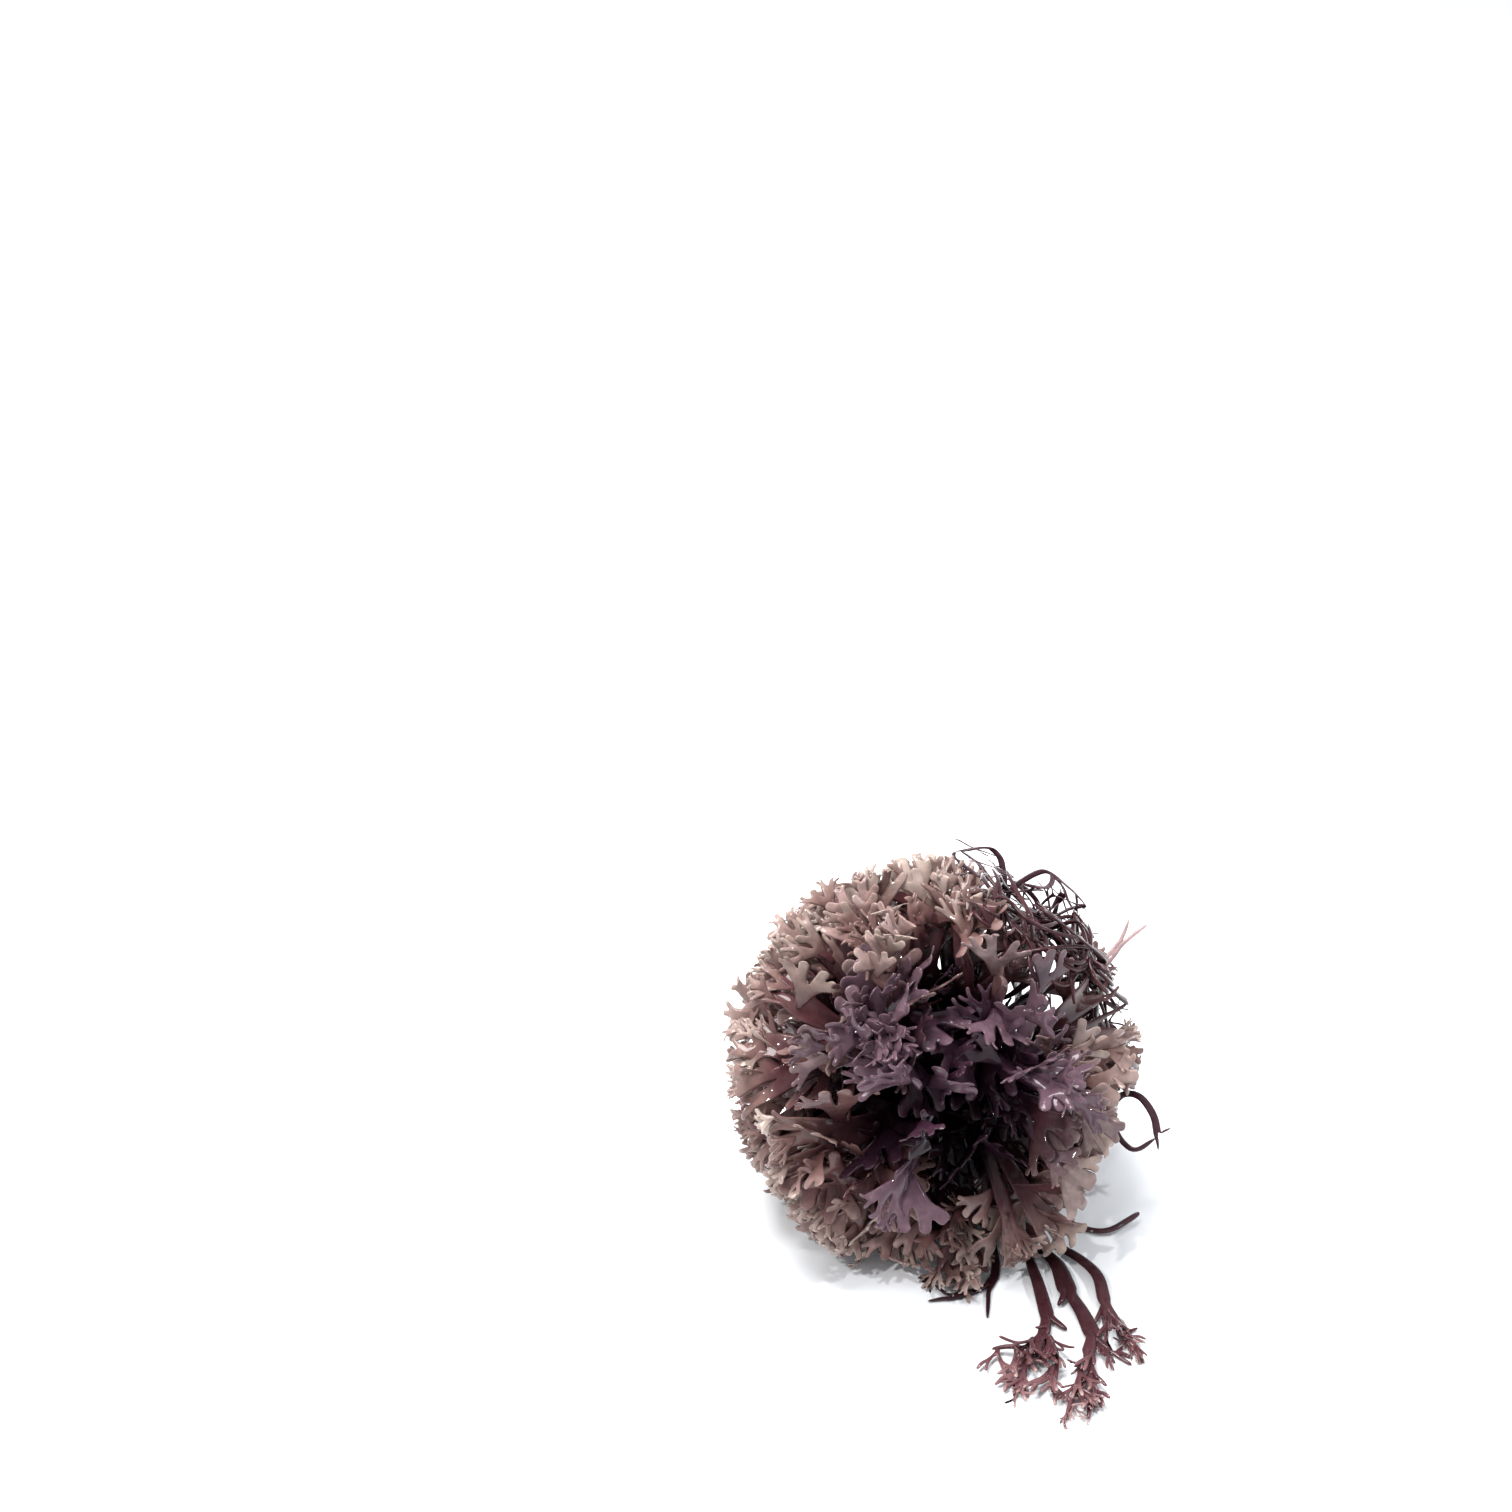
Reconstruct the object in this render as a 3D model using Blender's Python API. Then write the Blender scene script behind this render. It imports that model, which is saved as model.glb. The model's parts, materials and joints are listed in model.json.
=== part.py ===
"""Irish moss plant: a picked, wet rosette of forked seaweed fronds lying on a surface.

Flat stalked fronds radiate from one small holdfast and fork into fans of short fingers. Narrow dark
straps form an open net behind the right shoulder, and a few straps trail out along the surface.
Lengths are in millimetres until an object is made, and then in metres, with +Z up.
"""

import math
import random

import bmesh
import bpy
from mathutils import Matrix, Vector

MM = 0.001

# The rosette
BALL_RADIUS = 59.0
BALL_CENTRE = Vector((-4.0, 0.0, 44.0))
HOLDFAST_CENTRE = Vector((-1.0, 5.0, 42.0))
HOLDFAST_RADIUS = 8.6
STALK_START = HOLDFAST_RADIUS + 0.3
THICKNESS = 1.2
OPEN_ELEVATION = math.radians(27.0)
OPEN_AZIMUTH = math.radians(3.0)
OPEN_AXIS = Vector((
    math.sin(OPEN_AZIMUTH) * math.cos(OPEN_ELEVATION),
    -math.cos(OPEN_AZIMUTH) * math.cos(OPEN_ELEVATION),
    math.sin(OPEN_ELEVATION),
))
PLACES = 56
SEED = 41

# How the whole rosette bends
RECURVE_ALL = 0.22
RECURVE_FRONT = 0.30
INNER_REACH = 0.84
INNER_REACH_ANGLE = math.radians(75.0)
SAG = 5.0
FLOOR_SOFTNESS = 1.2
FLOOR_SPREAD = 0.7

# One main frond: its stalk, boughs, lobes and fingers
SPREAD = 0.34
NARROWER = {7: 0.19, 10: 0.31, 17: 0.19, 26: 0.19, 31: 0.28, 49: 0.31, 53: 0.31}
STALK_HALF = 1.25
FLARE_LOW = 0.45
FLARE_LOW_INNER = 0.85
INNER_ANGLE = math.radians(50.0)
FLARE_POWER = 2.6
FORK_SHARE_EARLY = (0.44, 0.78, 0.89, 1.0)
FORK_SHARE_LATE = (0.58, 0.82, 0.90, 1.0)
FORK_HALF = (4.6, 6.2, 3.1, 0.85)
FILL = 0.94
ROLL = (0.35, 0.75, 0.5, 0.5)
NOTCH = 1.2
FINGER_LEVEL = 3
ROWS = (3, 2, 1, 1)
FORK_CHANCE = (1.0, 1.0, 0.86)
SHORTEST_BRANCH = 3.0
TWIST = math.radians(38.0)
TWIST_ON_FLOOR = math.radians(12.0)
VIOLET_ANGLE = math.radians(48.0)

# Places of the rosette that hold something other than a main frond
BARE_PLACES = (2, 36, 44)
WIRE_PLACES = (27, 30, 35, 43, 48)
WIRE_SEEDS = (1, 2, 1, 1, 5)
WIRE_SHELLS = (63.5, 57.0, 61.0, 59.0, 56.0)
WIRE_CLIMB = 13.0
WIRE_BOUGH = (19.0, 26.0)
WIRE_TWIG = (12.0, 18.0)
WIRE_TWIG_ANGLE = (0.25, 0.75)
WISP_PLACE = 22
LOOP_PLACE = 25
TRAIL_PLACE = 28
FORKED_PLACE = 15
SHORTER = {14: 0.84, 20: 0.87, 51: 0.80}

# Finish of each kind of piece: colour and roughness
FINISHES = {
    "pale": ((0.36, 0.28, 0.25), 0.35),
    "violet": ((0.13, 0.075, 0.11), 0.30),
    "strap": ((0.13, 0.05, 0.06), 0.35),
    "wire": ((0.07, 0.035, 0.045), 0.35),
    "wisp": ((0.55, 0.42, 0.42), 0.40),
    "holdfast": ((0.03, 0.015, 0.02), 0.50),
}

# Routes of the loose straps: points, first and last half width, branches left and right
WISP = ([(39.5, 6.0, 71.5), (45.5, 11.0, 75.5)], 0.9, 1.3, [
    ([(48.5, 15.0, 79.5), (49.5, 16.5, 82.5)], 0.7, 0.5, None),
    ([(51.5, 14.5, 79.0), (54.5, 16.0, 80.5)], 0.7, 0.5, None),
])
LOOP = ([(45.5, -1.0, 29.0)], 1.0, 1.9, [
    ([(49.5, 3.2, 31.0), (54.0, 1.2, 32.2), (58.0, -2.3, 28.0), (59.0, -5.5, 23.7)], 1.0, 1.2, [
        ([(63.0, -3.5, 24.5)], 0.6, 0.4, None),
        ([(59.3, -7.5, 19.7)], 0.6, 0.4, None),
    ]),
    ([(48.5, -3.8, 21.5), (52.5, -7.3, 19.5), (56.0, -6.3, 21.5)], 1.0, 0.6, None),
])
FORKED = ([(5.0, -20.0, 17.0)], 1.2, 2.4, [
    ([(12.0, -29.5, 5.0), (12.4, -37.0, 1.2), (10.2, -42.0, 0.9)], 1.0, 1.5, [
        ([(9.6, -48.0, 1.0), (9.0, -54.0, 0.6)], 0.8, 0.5, None),
        ([(5.0, -44.6, 1.0), (-0.5, -46.4, 1.0)], 0.8, 1.1, [
            ([(-6.8, -47.6, 0.7)], 0.6, 0.4, None),
            ([(-4.6, -42.0, 1.4)], 0.6, 0.4, None),
        ]),
    ]),
    ([(3.0, -26.5, 14.0), (2.5, -33.0, 9.0)], 2.4, 6.0, [
        ([(6.6, -37.4, 5.6)], 3.2, 3.6, [
            ([(10.4, -40.5, 4.4)], 1.4, 0.8, None),
            ([(6.0, -42.0, 3.2)], 1.4, 0.8, None),
        ]),
        ([(-1.2, -37.0, 5.2)], 3.2, 3.6, [
            ([(1.0, -41.8, 3.2)], 1.4, 0.8, None),
            ([(-4.4, -40.2, 4.2)], 1.4, 0.8, None),
        ]),
    ]),
])
TRAIL = ([(15.5, -13.5, 2.6), (19.0, -17.5, 0.9), (21.8, -20.8, 0.8), (24.8, -25.0, 0.7)], 1.2, 4.6, None)
FLOOR_STRAPS = {
    "spray_left": ([(22.0, -28.2, 0.6), (22.4, -35.0, 2.2), (23.6, -43.5, 2.6),
                    (24.9, -53.5, 1.6)], 1.4, 2.2, [
        ([(30.0, -59.0, 1.0)], 1.2, 0.8, None),
        ([(23.6, -60.5, 1.8)], 1.2, 1.9, [
            ([(26.0, -70.0, 2.6), (24.0, -82.5, 1.0)], 0.9, 0.6, None),
            ([(18.5, -67.5, 2.4)], 1.0, 1.6, [
                ([(17.0, -75.0, 1.4), (13.5, -83.0, 0.8)], 0.8, 0.6, None),
                ([(14.0, -66.5, 2.6), (9.0, -66.5, 1.4)], 0.8, 0.6, None),
            ]),
        ]),
    ]),
    "spray_middle": ([(25.7, -26.6, 0.6), (29.4, -34.8, 2.2), (31.2, -45.0, 2.4)], 1.6, 3.0, [
        ([(34.4, -53.0, 2.0), (36.4, -60.5, 1.4)], 1.7, 2.6, [
            ([(40.8, -67.0, 0.9)], 1.3, 0.6, None),
            ([(34.5, -68.5, 2.4)], 1.3, 2.0, [
                ([(34.0, -80.0, 2.2), (32.2, -91.5, 0.8)], 1.0, 0.6, None),
                ([(30.6, -79.5, 2.6), (26.0, -92.0, 0.8)], 1.0, 0.6, None),
            ]),
        ]),
        ([(28.2, -50.0, 1.2)], 1.2, 0.8, None),
    ]),
    "spray_right": ([(28.9, -24.6, 0.6), (35.5, -31.8, 2.0), (39.9, -40.0, 3.0),
                     (40.8, -49.0, 2.4)], 1.4, 2.0, [
        ([(43.6, -56.0, 1.4), (45.6, -59.8, 1.0)], 1.0, 1.4, [
            ([(49.0, -58.2, 1.0)], 0.6, 0.4, None),
            ([(47.3, -65.0, 1.0), (49.0, -71.0, 0.6)], 0.8, 0.6, None),
        ]),
        ([(40.4, -57.5, 1.2)], 1.0, 0.7, None),
    ]),
    "side_strap": ([(23.6, -12.4, 0.6), (32.0, -14.5, 0.7), (39.5, -19.5, 1.2), (45.0, -20.8, 2.0),
                    (50.0, -18.0, 2.6), (54.5, -14.5, 3.0)], 1.1, 0.9, None),
}


def settle(p):
    """Bend a point of the straight rosette: recurve, sag, and lie down on the floor."""
    reach = p.length
    forward = p.dot(OPEN_AXIS)
    outward = p - OPEN_AXIS * forward
    angle = math.atan2(outward.length, forward)
    bend = RECURVE_ALL * math.sin(angle) + RECURVE_FRONT * max(math.sin(2.0 * angle), 0.0)
    angle += bend * (reach / BALL_RADIUS) ** 2
    q = OPEN_AXIS * (reach * math.cos(angle))
    if outward.length > 0.0:
        q += outward.normalized() * (reach * math.sin(angle))
    run = max(math.hypot(q.x, q.y), 1.0)
    z = HOLDFAST_CENTRE.z + q.z - SAG * (run / BALL_RADIUS) ** 2
    rest_z = 0.5 * (z + math.sqrt(z * z + 4.0 * FLOOR_SOFTNESS ** 2))
    push = 1.0 + FLOOR_SPREAD * (rest_z - z) / run
    return Vector((
        HOLDFAST_CENTRE.x + q.x * push,
        HOLDFAST_CENTRE.y + q.y * push,
        max(rest_z, THICKNESS / 2),
    ))


def reach_to_ball(direction):
    """Distance from the holdfast to the ball that the tips lie on."""
    offset = HOLDFAST_CENTRE - BALL_CENTRE
    b = offset.dot(direction)
    full = -b + math.sqrt(b * b - offset.length_squared + BALL_RADIUS ** 2)
    opened = min(direction.angle(OPEN_AXIS) / INNER_REACH_ANGLE, 1.0)
    return full * (INNER_REACH + (1.0 - INNER_REACH) * opened)


def rosette_directions():
    """Spiral directions around the open axis, as a rosette grows."""
    side = OPEN_AXIS.cross(Vector((0, 0, 1))).normalized()
    up = side.cross(OPEN_AXIS)
    golden = math.pi * (3.0 - math.sqrt(5.0))
    directions = []
    for i in range(PLACES):
        forward = 1.0 - (2 * i + 1) / PLACES
        ring = math.sqrt(1.0 - forward * forward)
        turn = golden * i
        directions.append(OPEN_AXIS * forward + side * (ring * math.cos(turn)) + up * (ring * math.sin(turn)))
    return directions


class Sheet:
    """The middle surface of a frond: points and faces, later given its thickness."""

    def __init__(self):
        self.points = []
        self.faces = []

    def add(self, point):
        self.points.append(point)
        return len(self.points) - 1


class Frond:
    """Where one frond points, which way it faces, and how it is built."""

    def __init__(self, index, direction):
        self.rng = random.Random(SEED * 1000 + index)
        self.along = direction
        self.face = facing(direction, self.rng)
        self.side = direction.cross(self.face)
        self.reach = reach_to_ball(direction) * self.rng.uniform(0.85, 1.04) * SHORTER.get(index, 1.0)
        inner = max(1.0 - direction.angle(OPEN_AXIS) / INNER_ANGLE, 0.0)
        self.late = max(self.rng.random() ** 1.5, min(inner * 2.0, 1.0))
        self.flare_low = FLARE_LOW + (FLARE_LOW_INNER - FLARE_LOW) * inner

    def flare(self, r):
        """Fronds stay slender low down and splay towards their tips."""
        return self.flare_low + (1.0 - self.flare_low) * min(r / self.reach, 1.0) ** FLARE_POWER

    def place(self, r, across, out):
        flare = self.flare(r)
        direction = self.along + self.side * (across * flare) + self.face * (out * flare)
        return settle(direction.normalized() * r)

    def fork_radius(self, level):
        share = FORK_SHARE_EARLY[level] * (1 - self.late) + FORK_SHARE_LATE[level] * self.late
        return HOLDFAST_RADIUS + (self.reach - HOLDFAST_RADIUS) * share


def facing(direction, rng):
    """A petal faces the open axis, and one near the floor faces up."""
    low = min(max((-direction.z - 0.15) / 0.45, 0.0), 1.0)
    wish = OPEN_AXIS * (1.0 - low) + Vector((0, 0, 1)) * low
    face = (wish - direction * wish.dot(direction)).normalized()
    twist = rng.uniform(-1.0, 1.0) * (TWIST + (TWIST_ON_FLOOR - TWIST) * low)
    return Matrix.Rotation(twist, 3, direction) @ face


def grow(sheet, frond, edge, base, lane, level):
    """Grow one branch from an edge of its parent inside its own lane, then let it fork.

    base is the distance from the holdfast, the place across and out, the half width and the roll.
    lane is the centre and radius of the round share of directions that this branch keeps to.
    """
    left, right = edge
    r0, x0, y0, half0, roll0 = base
    lane_x, lane_y, lane_radius = lane
    rng = frond.rng
    r1 = r0 + (frond.fork_radius(level) - r0) * rng.uniform(0.80, 1.12)
    roll1 = roll0 + rng.uniform(-1.0, 1.0) * ROLL[level]
    split = rng.uniform(0.40, 0.60)
    forks = level < FINGER_LEVEL and rng.random() < FORK_CHANCE[level]
    half1 = min(FORK_HALF[level], lane_radius * r1 * frond.flare(r1) * FILL)
    if not forks:
        r1 = r0 + (frond.fork_radius(FINGER_LEVEL) - r0) * rng.uniform(0.80, 1.05)
        half1 = FORK_HALF[FINGER_LEVEL]
    r1 = max(r1, r0 + SHORTEST_BRANCH)
    rows = ROWS[level]
    for row in range(1, rows + 1):
        t = row / rows
        r = r0 + (r1 - r0) * t
        x = x0 + (lane_x - x0) * t
        y = y0 + (lane_y - y0) * t
        roll = roll0 + (roll1 - roll0) * t
        half = (half0 + (half1 - half0) * t) / (r * frond.flare(r))
        dx = half * math.cos(roll)
        dy = half * math.sin(roll)
        new_left = sheet.add(frond.place(r, x - dx, y - dy))
        new_right = sheet.add(frond.place(r, x + dx, y + dy))
        if row == rows and forks:
            lean = 2.0 * split - 1.0
            notch = sheet.add(frond.place(r - NOTCH, x + lean * dx, y + lean * dy))
            sheet.faces.append((left, right, new_right, notch, new_left))
        else:
            sheet.faces.append((left, right, new_right, new_left))
        left, right = new_left, new_right
    if not forks:
        return
    for sign, share, pair in ((-1, split, (left, notch)), (1, 1.0 - split, (notch, right))):
        offset = sign * (1.0 - share)
        child_x = lane_x + offset * lane_radius * math.cos(roll1)
        child_y = lane_y + offset * lane_radius * math.sin(roll1)
        start = (r1, lane_x + offset * dx, lane_y + offset * dy, half1 * share, roll1)
        grow(sheet, frond, pair, start, (child_x, child_y, lane_radius * share), level + 1)


def main_frond(index, direction):
    """The stalk, boughs, lobes and fingers of one frond, in its own place of the rosette."""
    frond = Frond(index, direction)
    spread = NARROWER.get(index, SPREAD)
    sheet = Sheet()
    start = STALK_HALF / (STALK_START * frond.flare(STALK_START))
    left = sheet.add(frond.place(STALK_START, -start, 0.0))
    right = sheet.add(frond.place(STALK_START, start, 0.0))
    grow(sheet, frond, (left, right), (STALK_START, 0.0, 0.0, STALK_HALF, 0.0), (0.0, 0.0, spread), 0)
    return sheet


def strap(sheet, route, half0, half1, facing_way, edge=None):
    """Lay a flat strap along a route of points, and return its end edge with a middle point."""
    points = [Vector(p) for p in route]
    for i, point in enumerate(points):
        before = points[max(i - 1, 0)]
        after = points[min(i + 1, len(points) - 1)]
        if i == 0 and edge is not None:
            before = (sheet.points[edge[0]] + sheet.points[edge[1]]) / 2
        way = facing_way(point)
        side = (after - before).cross(way).normalized()
        half = half0 + (half1 - half0) * (i + 1) / len(points)
        left = sheet.add(floor_limit(point - side * half))
        right = sheet.add(floor_limit(point + side * half))
        if edge is not None:
            sheet.faces.append((edge[0], edge[1], right, left))
        edge = (left, right)
    return edge


def floor_limit(point):
    return Vector((point.x, point.y, max(point.z, THICKNESS / 2)))


def fork(sheet, edge):
    """Split the end edge of a strap in two, around a notch between its branches."""
    left, right = edge
    middle = (sheet.points[left] + sheet.points[right]) / 2
    notch = sheet.add(middle)
    last = sheet.faces.pop()
    assert last[2] == right and last[3] == left
    sheet.faces.append((last[0], last[1], right, notch, left))
    return (left, notch), (notch, right)


def strap_tree(sheet, branch, facing_way, edge=None):
    """A strap and the branches after its fork, each as (route, first half width, last, branches)."""
    route, half0, half1, children = branch
    edge = strap(sheet, route, half0, half1, facing_way, edge)
    if children:
        for child, part in zip(children, fork(sheet, edge)):
            strap_tree(sheet, child, facing_way, part)


def straight_up(point):
    return Vector((0, 0, 1))


def outwards(point):
    return (point - BALL_CENTRE).normalized()


def towards_viewer(point):
    return Vector((0.0, -0.78, 0.63))


def slot_route(direction, stops):
    """Points of a stalk that leaves the holdfast in its own place of the rosette."""
    return [settle(direction * r) for r in stops]


def wander(rng, start, heading, length, steps, turn, shell):
    """A route that bends round the tuft at a given distance from its middle."""
    points = []
    point = start
    for _ in range(steps):
        radial = outwards(point)
        heading = (heading - radial * heading.dot(radial) * 0.45
                   + radial * ((shell - (point - BALL_CENTRE).length) * 0.11)
                   + radial.cross(heading) * (turn + rng.uniform(-0.14, 0.14))).normalized()
        point = point + heading * (length / steps)
        points.append(point)
    return points, heading


def wiry_frond(number, direction):
    """A narrow dark frond that leaves the tuft and bends round its shoulder both ways."""
    rng = random.Random(WIRE_SEEDS[number])
    shell = WIRE_SHELLS[number]
    stalk = slot_route(direction, (STALK_START, 22.0, 34.0, shell - WIRE_CLIMB))
    out = (stalk[-1] - stalk[-2]).normalized()
    radial = outwards(stalk[-1])
    round_the_net = towards_viewer(stalk[-1]).cross(radial).normalized()
    branches = []
    for sign in (-1, 1):
        tangent = Matrix.Rotation(rng.uniform(-0.5, 0.5), 3, radial) @ (round_the_net * sign)
        heading = (out * 0.7 + tangent).normalized()
        bough, bough_heading = wander(rng, stalk[-1], heading, rng.uniform(*WIRE_BOUGH), 4, 0.0, shell)
        twigs = []
        for side in (-1, 1):
            turned = Matrix.Rotation(-side * rng.uniform(*WIRE_TWIG_ANGLE), 3, towards_viewer(bough[-1]))
            twig_shell = shell + rng.uniform(-2, 2)
            length = rng.uniform(*WIRE_TWIG)
            twig, _ = wander(rng, bough[-1], turned @ bough_heading, length, 3, side * 0.12, twig_shell)
            twigs.append((twig, 0.8, 0.45, None))
        branches.append((bough, 0.9, 1.3, twigs))
    return (stalk, 1.0, 1.5, order_by_side(stalk, branches))


def order_by_side(stalk, branches):
    """The two branches of a fork, the left one first."""
    forward = stalk[-1] - stalk[-2]
    right = forward.cross(towards_viewer(stalk[-1]))
    return sorted(branches, key=lambda b: (b[0][-1] - stalk[-1]).dot(right))


def thicken(sheet):
    """Corners and faces of the solid that a sheet becomes, half its thickness to each side."""
    bm = bmesh.new()
    points = [bm.verts.new(p) for p in sheet.points]
    for face in sheet.faces:
        bm.faces.new([points[i] for i in face])
    bm.normal_update()
    half = THICKNESS / 2
    top = []
    under = []
    for v in points:
        on_floor = v.co.z <= half + 0.001
        offset = Vector((0, 0, math.copysign(half, v.normal.z))) if on_floor else v.normal * half
        top.append(lift(v.co + offset))
        under.append(lift(v.co - offset))
    bm.verts.index_update()
    count = len(points)
    faces = list(sheet.faces)
    faces += [tuple(i + count for i in reversed(face)) for face in sheet.faces]
    for edge in bm.edges:
        if edge.is_boundary:
            loop = edge.link_loops[0]
            a = loop.vert.index
            b = loop.link_loop_next.vert.index
            faces.append((b, a, a + count, b + count))
    bm.free()
    return top + under, faces


def add_object(name, bm, kind):
    """Make an object with its own material from a closed form in millimetres."""
    colour, roughness = FINISHES[kind]
    bmesh.ops.scale(bm, vec=(MM, MM, MM), verts=bm.verts)
    bmesh.ops.triangulate(bm, faces=bm.faces)
    mesh = bpy.data.meshes.new(name)
    bm.to_mesh(mesh)
    bm.free()
    material = bpy.data.materials.new(name)
    material.use_nodes = True
    shader = material.node_tree.nodes["Principled BSDF"]
    shader.inputs["Base Color"].default_value = (*colour, 1.0)
    shader.inputs["Roughness"].default_value = roughness
    shader.inputs["Metallic"].default_value = 0.0
    mesh.materials.append(material)
    obj = bpy.data.objects.new(name, mesh)
    bpy.context.scene.collection.objects.link(obj)


def form(corners, faces, origin):
    """A closed form from its corners and faces."""
    bm = bmesh.new()
    points = [bm.verts.new(p - origin) for p in corners]
    for face in faces:
        bm.faces.new([points[i] for i in face])
    return bm


def lift(point):
    """Keep a corner above the floor."""
    return Vector((point.x, point.y, max(point.z, 0.0)))


def trail_facing(point):
    """The trailing stem faces the open crown in the tuft and up on the floor."""
    low = min(max((20.0 - point.z) / 15.0, 0.0), 1.0)
    return (OPEN_AXIS * (1.0 - low) + Vector((0.3, -0.3, 0.9)) * low).normalized()


def loose_strap(branch, facing_way, stalk=()):
    """A strap with its branches, after the stalk that leads to it if it has one here."""
    route, half0, half1, children = branch
    sheet = Sheet()
    strap_tree(sheet, (list(stalk) + route, half0, half1, children), facing_way)
    return thicken(sheet)


def rooted_straps(directions):
    """The straps whose stalks leave the holdfast in a place of their own."""
    rooted = {
        "pale_wisp": (WISP, WISP_PLACE, (24.0, 38.0), towards_viewer, "wisp"),
        "looped_strand": (LOOP, LOOP_PLACE, (24.0, 38.0), towards_viewer, "strap"),
        "trailing_stem": (TRAIL, TRAIL_PLACE, (24.0, 38.0), trail_facing, "strap"),
        "forked_strand": (FORKED, FORKED_PLACE, (22.0,), trail_facing, "strap"),
    }
    pieces = {}
    for name, (branch, place, stops, facing_way, kind) in rooted.items():
        stalk = slot_route(directions[place], (STALK_START,) + stops)
        pieces[name] = (loose_strap(branch, facing_way, stalk), kind)
    for number, place in enumerate(WIRE_PLACES):
        branch = wiry_frond(number, directions[place])
        pieces["wiry_frond_%d" % (number + 1)] = (loose_strap(branch, towards_viewer), "wire")
    return pieces


def main_fronds(directions):
    """The fronds of the rosette: violet ones round the open crown, pale ones outside."""
    taken = BARE_PLACES + WIRE_PLACES + (WISP_PLACE, LOOP_PLACE, TRAIL_PLACE, FORKED_PLACE)
    pieces = {}
    for index, direction in enumerate(directions):
        if index not in taken:
            kind = "violet" if direction.angle(OPEN_AXIS) < VIOLET_ANGLE else "pale"
            name = "frond_%02d" % (len(pieces) + 1)
            pieces[name] = (thicken(main_frond(index, direction)), kind)
    return pieces


def bottom_centre(pieces):
    """The middle of the floor area that the whole plant covers."""
    corners = [p for (points, _), _ in pieces.values() for p in points]
    low = [min(p[axis] for p in corners) for axis in (0, 1)]
    high = [max(p[axis] for p in corners) for axis in (0, 1)]
    return Vector(((low[0] + high[0]) / 2, (low[1] + high[1]) / 2, 0.0))


def build():
    for obj in list(bpy.data.objects):
        bpy.data.objects.remove(obj, do_unlink=True)
    directions = rosette_directions()
    pieces = rooted_straps(directions)
    for name, branch in FLOOR_STRAPS.items():
        pieces[name] = (loose_strap(branch, straight_up), "strap")
    pieces.update(main_fronds(directions))
    origin = bottom_centre(pieces)
    cushion = bmesh.new()
    bmesh.ops.create_icosphere(cushion, subdivisions=2, radius=HOLDFAST_RADIUS)
    bmesh.ops.translate(cushion, verts=cushion.verts, vec=HOLDFAST_CENTRE - origin)
    add_object("holdfast", cushion, "holdfast")
    for name, ((corners, faces), kind) in pieces.items():
        add_object(name, form(corners, faces, origin), kind)


build()
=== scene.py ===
"""Irish moss plant, dressed: wet forked fronds round a small holdfast, lying on a white surface."""
import json
import math
import random

import bmesh
import bpy
from mathutils import Matrix, Vector, noise

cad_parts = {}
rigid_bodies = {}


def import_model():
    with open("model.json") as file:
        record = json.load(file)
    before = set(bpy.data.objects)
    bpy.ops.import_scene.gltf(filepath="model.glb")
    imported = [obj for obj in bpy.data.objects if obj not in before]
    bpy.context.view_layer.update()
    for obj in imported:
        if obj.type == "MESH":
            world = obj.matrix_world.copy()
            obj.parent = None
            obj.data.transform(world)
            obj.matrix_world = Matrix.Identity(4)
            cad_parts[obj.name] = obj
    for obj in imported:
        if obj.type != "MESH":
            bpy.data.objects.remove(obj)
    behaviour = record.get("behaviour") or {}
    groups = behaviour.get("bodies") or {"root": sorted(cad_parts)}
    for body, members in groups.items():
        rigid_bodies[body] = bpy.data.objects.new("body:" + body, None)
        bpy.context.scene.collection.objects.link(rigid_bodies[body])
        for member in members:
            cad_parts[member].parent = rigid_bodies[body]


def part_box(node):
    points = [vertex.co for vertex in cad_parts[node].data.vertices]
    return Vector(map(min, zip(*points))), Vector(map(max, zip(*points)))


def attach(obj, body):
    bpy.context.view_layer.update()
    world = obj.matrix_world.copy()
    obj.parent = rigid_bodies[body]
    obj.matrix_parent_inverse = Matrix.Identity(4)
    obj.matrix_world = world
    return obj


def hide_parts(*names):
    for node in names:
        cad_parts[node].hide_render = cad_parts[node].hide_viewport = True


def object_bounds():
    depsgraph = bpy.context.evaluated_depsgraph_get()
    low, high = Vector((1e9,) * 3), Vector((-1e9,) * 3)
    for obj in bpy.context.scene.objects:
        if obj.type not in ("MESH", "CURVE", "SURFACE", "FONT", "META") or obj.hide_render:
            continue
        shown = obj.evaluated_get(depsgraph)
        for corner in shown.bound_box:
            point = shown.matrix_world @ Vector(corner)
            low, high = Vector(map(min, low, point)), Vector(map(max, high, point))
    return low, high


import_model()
cad_low, cad_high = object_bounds()

# The view
# The plant lies with its open crown towards the viewer, who looks down on it from the front.
# Lengths are in millimetres until a mesh is made, and the holdfast says where the plant lies.
MM = 0.001
HOLDFAST_CENTRE = Vector((-1.0, 5.0, 42.0))
holdfast_low, holdfast_high = (Vector(corner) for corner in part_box("holdfast"))
SHIFT = (holdfast_low + holdfast_high) / (2 * MM) - HOLDFAST_CENTRE

CAMERA_PLACE = Vector((-53.333, -590.110, 513.937))
CAMERA_PITCH = math.radians(32.0)
FOCAL_PIXELS = 2700.0
PHOTO_PIXELS = 1512.0
SENSOR = 36.0

camera = bpy.data.cameras.new("camera")
camera.sensor_width = SENSOR
camera.lens = FOCAL_PIXELS / PHOTO_PIXELS * SENSOR
camera.clip_start = 0.01
camera_object = bpy.data.objects.new("camera", camera)
camera_object.location = (CAMERA_PLACE + SHIFT) * MM
camera_object.rotation_euler = (math.pi / 2 - CAMERA_PITCH, 0.0, 0.0)
bpy.context.scene.collection.objects.link(camera_object)
bpy.context.scene.camera = camera_object


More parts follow.
